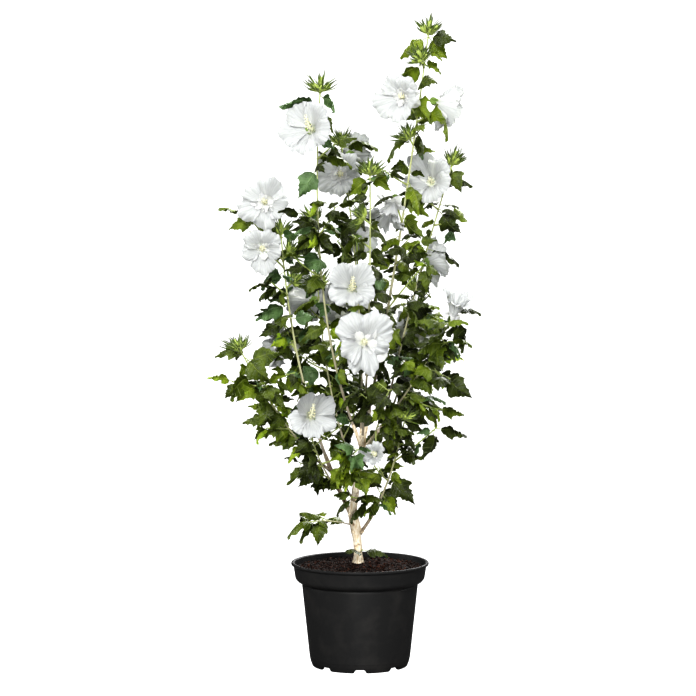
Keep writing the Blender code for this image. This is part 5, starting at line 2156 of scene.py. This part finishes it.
@dataclass
class BudClusters:
    """The clusters of green buds at the shoots' tips, each bud in its own ring of narrow bracts."""

    growth: Growth
    bud_length: float = 0.0120
    bud_radius: float = 0.0035
    bracts: int = 8
    bract_length: float = 0.0220
    bract_width: float = 0.0022
    buds: int = 9
    lean: tuple = (38, 62)
    sway: float = 0.3
    middle_stand: float = 0.42
    stand: float = 0.25
    stalk: tuple = (0.0010, 0.0013)
    scale: float = 1.2
    seed: int = 61

    def build(self) -> None:
        """Make the buds and their bracts."""
        source = random.Random(self.seed)
        buds, bracts = Joined("buds", mapped=False), Joined("bracts")
        for foot, way, size in [cluster for mass in self.growth.masses for cluster in mass.clusters]:
            for index in range(self.buds):
                lean = math.radians(source.uniform(*self.lean)) if index else 0.0
                turn = FULL_TURN * index / (self.buds - 1) + source.uniform(-self.sway, self.sway)
                tilt = Matrix.Rotation(turn, 4, "Z") @ Matrix.Rotation(lean, 4, "Y")
                scale = self.scale * source.uniform(0.85, 1.15)
                stand = size * (self.stand if index else self.middle_stand)
                stood = Matrix.Translation((0, 0, stand)) @ Matrix.Scale(scale, 4)
                place = laid(foot, way) @ tilt @ stood
                buds.add(self.bud(), place)
                ends = [Vector((0, 0, -stand * 0.9)), Vector((0, 0, 0.001))]
                buds.add(rolled_tube("stalk", ends, list(self.stalk), 6), place)
                for bract in range(self.bracts):
                    bracts.add(self.bract(bract, source), place)
        # A yellow-green skin on the bud, and dark green bracts that are paler at their foot
        buds.piece(SoftTissue("bud_skin", "#9dac58", 0.5).material())
        bracts.piece(GreenShoot("bract_skin", "#93a24a", "#566e27", "#202c0e").material())

    def bud(self) -> bpy.types.Mesh:
        """Make one pointed bud along Z.

        Returns:
            Its mesh.
        """
        bm = bmesh.new()
        bmesh.ops.create_uvsphere(bm, u_segments=10, v_segments=7, radius=1.0)
        for vertex in bm.verts:
            point = 0.25 if vertex.co.z > 0.9 else 0.0
            high = (vertex.co.z + point) * self.bud_length / 2 + self.bud_length * 0.45
            vertex.co = (vertex.co.x * self.bud_radius, vertex.co.y * self.bud_radius, high)
        return mesh_from(bm, "bud")

    def bract(self, number: int, source: random.Random) -> bpy.types.Mesh:
        """Make one bract at the foot of a bud.

        Args:
            number: Its number round the bud.
            source: The random numbers.

        Returns:
            Its mesh.
        """
        turn = FULL_TURN * number / self.bracts + source.uniform(-0.2, 0.2)
        rise = math.radians(source.uniform(30, 68))
        length = self.bract_length * source.uniform(0.70, 1.20)
        return blade(0.0005, turn, rise, length, self.bract_width, 0.5)


def rounded(corners: list[tuple[float, float, float]], steps: int) -> list[tuple[float, float]]:
    """An outline with each corner turned into an arc.

    Args:
        corners: Radius, height and the length that the arc takes from each side of the corner.
        steps: Steps in each arc.

    Returns:
        Pairs of radius and height.
    """
    found = [corners[0][:2]]
    for before, corner, after in zip(corners, corners[1:], corners[2:]):
        here = Vector(corner[:2])
        back, on = Vector(before[:2]) - here, Vector(after[:2]) - here
        start = here + back.normalized() * min(corner[2], back.length * 0.49)
        end = here + on.normalized() * min(corner[2], on.length * 0.49)
        for step in range(steps + 1):
            share = step / steps
            found.append(tuple(start.lerp(here, share).lerp(here.lerp(end, share), share)))
    return [*found, corners[-1][:2]]


@dataclass
class Pot:
    """The five litre nursery pot: rolled lip, collar band, tapering wall, and feet with open notches."""

    rim_radius: float = 0.1125
    height: float = 0.170
    lip_drop: float = 0.0045
    lip_width: float = 0.0062
    collar_top: float = 0.1085
    collar_radius: float = 0.1052
    collar_bottom: float = 0.137
    wall_top: float = 0.0945
    wall_foot: float = 0.0820
    base_radius: float = 0.0775
    bevel_height: float = 0.014
    wall: float = 0.0022
    floor: float = 0.0065
    pad: float = 0.030
    feet: int = 8
    notch_half: float = math.radians(6.6)
    notch_slope: float = math.radians(2.6)
    notch_height: float = 0.0058
    ring_width: float = 0.0062
    steps: int = 192

    def corners(self) -> list[tuple[float, float, float]]:
        """List the wall's outline, from the middle of its underside round to the middle of its floor.

        Returns:
            The radius, the height and the rounding of each corner.
        """
        rim, lip, collar = self.rim_radius, self.height - self.lip_drop, self.collar_radius
        band, base, bevel = self.collar_bottom, self.base_radius, self.bevel_height
        top, foot, wall = self.wall_top, self.wall_foot, self.wall
        return [
            (0.0, 0.0, 0.0),
            (self.pad, 0.0, 0.0006),
            (self.pad + 0.002, self.floor - 0.002, 0.0006),
            (base - 0.0050, self.floor - 0.002, 0.0006),
            (base - 0.0030, 0.0, 0.0006),
            (base, 0.0, 0.0010),
            (base + 0.0030, bevel - 0.006, 0.0020),
            (foot - 0.0004, bevel - 0.0006, 0.0006),
            (foot, bevel + 0.0004, 0.0006),
            (top, band - 0.0045, 0.0012),
            (top - 0.0010, band - 0.0022, 0.0008),
            (top + 0.0020, band, 0.0010),
            (collar - 0.0046, band + 0.0012, 0.0016),
            (collar, band + 0.0060, 0.0030),
            (self.collar_top, lip - 0.0010, 0.0012),
            (rim - 0.0008, lip, 0.0012),
            (rim, self.height - 0.0020, 0.0014),
            (rim - 0.0016, self.height, 0.0014),
            (rim - self.lip_width, self.height - 0.0008, 0.0016),
            (collar - wall, band + 0.0075, 0.0030),
            (top - wall, band + 0.0010, 0.0030),
            (foot - wall, bevel + 0.002, 0.0030),
            (base - wall, self.floor, 0.0010),
            (0.0, self.floor, 0.0),
        ]

    def foot_height(self, turn: float) -> float:
        """Find how high the foot ring's edge is, which has a notch between each two feet.

        Args:
            turn: The turn about the axis.

        Returns:
            The height.
        """
        pitch = FULL_TURN / self.feet
        off = abs((turn + math.pi / 2 + pitch / 2) % pitch - pitch / 2)
        part = (self.notch_half + self.notch_slope / 2 - off) / self.notch_slope
        return self.notch_height * min(1.0, max(0.0, part))

    def build(self) -> None:
        """Make the pot."""
        bm = spun(rounded(self.corners(), 4), self.steps)
        inside = self.base_radius - self.ring_width
        for vertex in bm.verts:
            distance = math.hypot(vertex.co.x, vertex.co.y)
            if inside < distance < self.wall_foot and vertex.co.z < self.notch_height:
                vertex.co.z = max(vertex.co.z, self.foot_height(math.atan2(vertex.co.y, vertex.co.x)))
        shell = Joined("pot_shell", mapped=False)
        shell.add(mesh_from(bm, "pot"))
        shell.piece(MouldedPolypropylene().material(), Slot.POT, ["pot"])


@dataclass(frozen=True)
class Grain:
    """A kind of grain: its count, least and greatest radius, and its thickness and length beside that."""

    count: int
    least: float
    most: float
    flat: float
    long: float


@dataclass
class Compost:
    """The compost: a loose mounded bed with crumbs of peat and flakes of bark on it."""

    radius: float = 0.1027
    edge_height: float = 0.1612
    top_height: float = 0.1655
    mound_radius: float = 0.026
    depth: float = 0.020
    rings: int = 56
    steps: int = 220
    lump: float = 0.0048
    lump_height: float = 0.0013
    crumb: float = 0.0016
    crumb_height: float = 0.0009
    crumbs: Grain = Grain(1500, 0.0007, 0.0021, 0.7, 1.3)
    flakes: Grain = Grain(420, 0.0011, 0.0034, 0.35, 1.9)
    tilt: float = 0.6
    seed: int = 17

    def surface(self, x: float, y: float) -> float:
        """Find the bed's height at a place.

        Args:
            x: The place to the right.
            y: The place to the back.

        Returns:
            The height.
        """
        past = (math.hypot(x, y) - self.mound_radius) / (self.radius - self.mound_radius)
        base = self.top_height + (self.edge_height - self.top_height) * max(0.0, min(1.0, past))
        lumps = noise.noise(Vector((x, y, 0.3)) / self.lump) * self.lump_height
        grains = noise.noise(Vector((x, y, 7.1)) / self.crumb) * self.crumb_height
        return base + lumps + grains

    def build(self) -> None:
        """Make the bed and what lies on it."""
        low = self.edge_height - self.depth
        profile = [(0.0, low), (self.radius - 0.0035, low)]
        shares = [1.0 - index / self.rings for index in range(self.rings)]
        profile += [(self.radius * share, self.top_height) for share in shares]
        bm = spun([*profile, (0.0, self.top_height)], self.steps)
        for vertex in bm.verts:
            if vertex.co.z > low + WELD:
                vertex.co.z = self.surface(vertex.co.x, vertex.co.y)
        # Damp peat is nearly black, and the flakes of bark on it are redder and paler
        peat = PottingMix("damp_peat", "#0f0907", "#2c1c15").material()
        rust = PottingMix("composted_bark", "#2a1711", "#553628").material()
        names = ("compost_bed", "peat_crumbs", "bark_flakes")
        bed, crumbs, flakes = (Joined(name, mapped=False) for name in names)
        bed.add(mesh_from(bm, "bed"))
        source = random.Random(self.seed)
        for piece, kind in ((crumbs, self.crumbs), (flakes, self.flakes)):
            for _ in range(kind.count):
                piece.add(self.grain(kind, source))
        for piece, finish in ((bed, peat), (crumbs, peat), (flakes, rust)):
            piece.piece(finish, Slot.COMPOST, ["soil"], smooth=piece is bed)

    def grain(self, kind: Grain, source: random.Random) -> bpy.types.Mesh:
        """Make one crumb or flake, lying on the bed.

        Args:
            kind: What it is.
            source: The random numbers.

        Returns:
            Its mesh, in place.
        """
        distance = (self.radius - 0.003) * math.sqrt(source.random())
        turn = source.uniform(0, FULL_TURN)
        x, y = distance * math.cos(turn), distance * math.sin(turn)
        size = kind.least + (kind.most - kind.least) * source.random() ** 2
        length = size * source.uniform(1.0, kind.long)
        bm = bmesh.new()
        bmesh.ops.create_icosphere(bm, subdivisions=1, radius=1.0)
        for vertex in bm.verts:
            vertex.co *= source.uniform(0.75, 1.2)
        bmesh.ops.scale(bm, vec=(length, size, size * kind.flat), verts=bm.verts)
        place = Matrix.Translation((x, y, self.surface(x, y) + size * kind.flat * 0.5))
        for axis in "XY":
            place = place @ Matrix.Rotation(source.uniform(-self.tilt, self.tilt), 4, axis)
        place = place @ Matrix.Rotation(source.uniform(0, FULL_TURN), 4, "Z")
        bmesh.ops.transform(bm, matrix=place, verts=bm.verts)
        return mesh_from(bm, "grain")


@dataclass(frozen=True)
class Softbox:
    """One soft studio light: where it hangs and aims, its side, its power and how far it fans out."""

    name: str
    place: tuple
    aim: tuple
    side: float
    power: float
    fan: float = math.pi


@dataclass
class Studio:
    """A white sweep, soft lights and the camera where the photograph was taken."""

    camera_place: tuple = (-0.0195, -4.5, 0.870)
    pitch_down: float = math.radians(4.46)
    sensor: float = 36.0
    lens: float = 144.11
    floor_radius: float = 1.1
    world_light: float = 0.085
    world_seen: float = 1.05
    softboxes: tuple = (
        Softbox("key", (-0.8, -3.7, 2.5), (0.0, 0.0, 0.60), 0.9, 134.0),
        Softbox("fill", (1.4, -3.6, 1.3), (0.0, 0.0, 0.60), 1.2, 30.0),
        Softbox("front", (0.1, -4.3, 0.35), (0.0, 0.0, 0.10), 0.5, 74.0),
        Softbox("overhead", (0.1, 0.2, 2.9), (0.0, 0.0, 0.60), 1.4, 34.0),
        Softbox("behind", (0.8, 2.6, 2.2), (0.0, 0.0, 0.60), 1.6, 98.0),
        Softbox("right", (3.0, 0.5, 1.5), (0.0, 0.0, 0.78), 0.7, 2.2, math.radians(40)),
        Softbox("left", (-3.0, 0.7, 1.5), (0.0, 0.0, 0.78), 0.7, 2.2, math.radians(40)),
    )

    def build(self) -> None:
        """Make the floor, the lights, the sky and the camera."""
        scene = bpy.context.scene
        scene.view_settings.view_transform = "Standard"
        scene.view_settings.look = "High Contrast"
        self.floor()
        self.sky()
        for box in self.softboxes:
            self.light(box)
        data = bpy.data.cameras.new("camera")
        data.sensor_width = self.sensor
        data.lens = self.lens
        camera = bpy.data.objects.new("camera", data)
        camera.location = self.camera_place
        camera.rotation_euler = (math.pi / 2 - self.pitch_down, 0.0, 0.0)
        scene.collection.objects.link(camera)
        scene.camera = camera

    def floor(self) -> None:
        """Make the pale floor, which isn't part of the object."""
        bm = bmesh.new()
        bmesh.ops.create_circle(bm, cap_ends=True, segments=96, radius=self.floor_radius)
        mesh = mesh_from(bm, "floor")
        mesh.materials.append(PaperSweep().material())
        item = bpy.data.objects.new("floor", mesh)
        bpy.context.scene.collection.objects.link(item)

    def sky(self) -> None:
        """Light the scene evenly from all round, and show white behind it."""
        world = bpy.data.worlds.new("studio")
        world.use_nodes = True
        bpy.context.scene.world = world
        tree = world.node_tree
        background = tree.nodes["Background"]
        background.inputs["Color"].default_value = linear("#ffffff")
        levels = {"To Min": self.world_light, "To Max": self.world_seen}
        strength = add_node(tree, "MapRange", levels, {"Value": add_node(tree, "LightPath")})
        wire(tree, background, {"Strength": strength})

    def light(self, box: Softbox) -> None:
        """Hang one softbox.

        Args:
            box: The softbox.
        """
        data = bpy.data.lights.new(box.name, "AREA")
        data.shape = "SQUARE"
        data.size = box.side
        data.energy = box.power
        data.spread = box.fan
        item = bpy.data.objects.new(box.name, data)
        item.location = box.place
        way = Vector(box.aim) - Vector(box.place)
        item.rotation_euler = way.to_track_quat("-Z", "Y").to_euler()
        bpy.context.scene.collection.objects.link(item)


def main() -> None:
    """Build the studio and every piece."""
    logging.basicConfig(level=logging.INFO, format="%(message)s")
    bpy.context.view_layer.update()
    growth = Growth(frame["nodes"])
    green = [Shoots(growth), Foliage(growth), Blossom(), BudClusters(growth)]
    for part in [Studio(), Pot(), Compost(), Wood(), *green]:
        part.build()


if __name__ == "__main__":
    main()
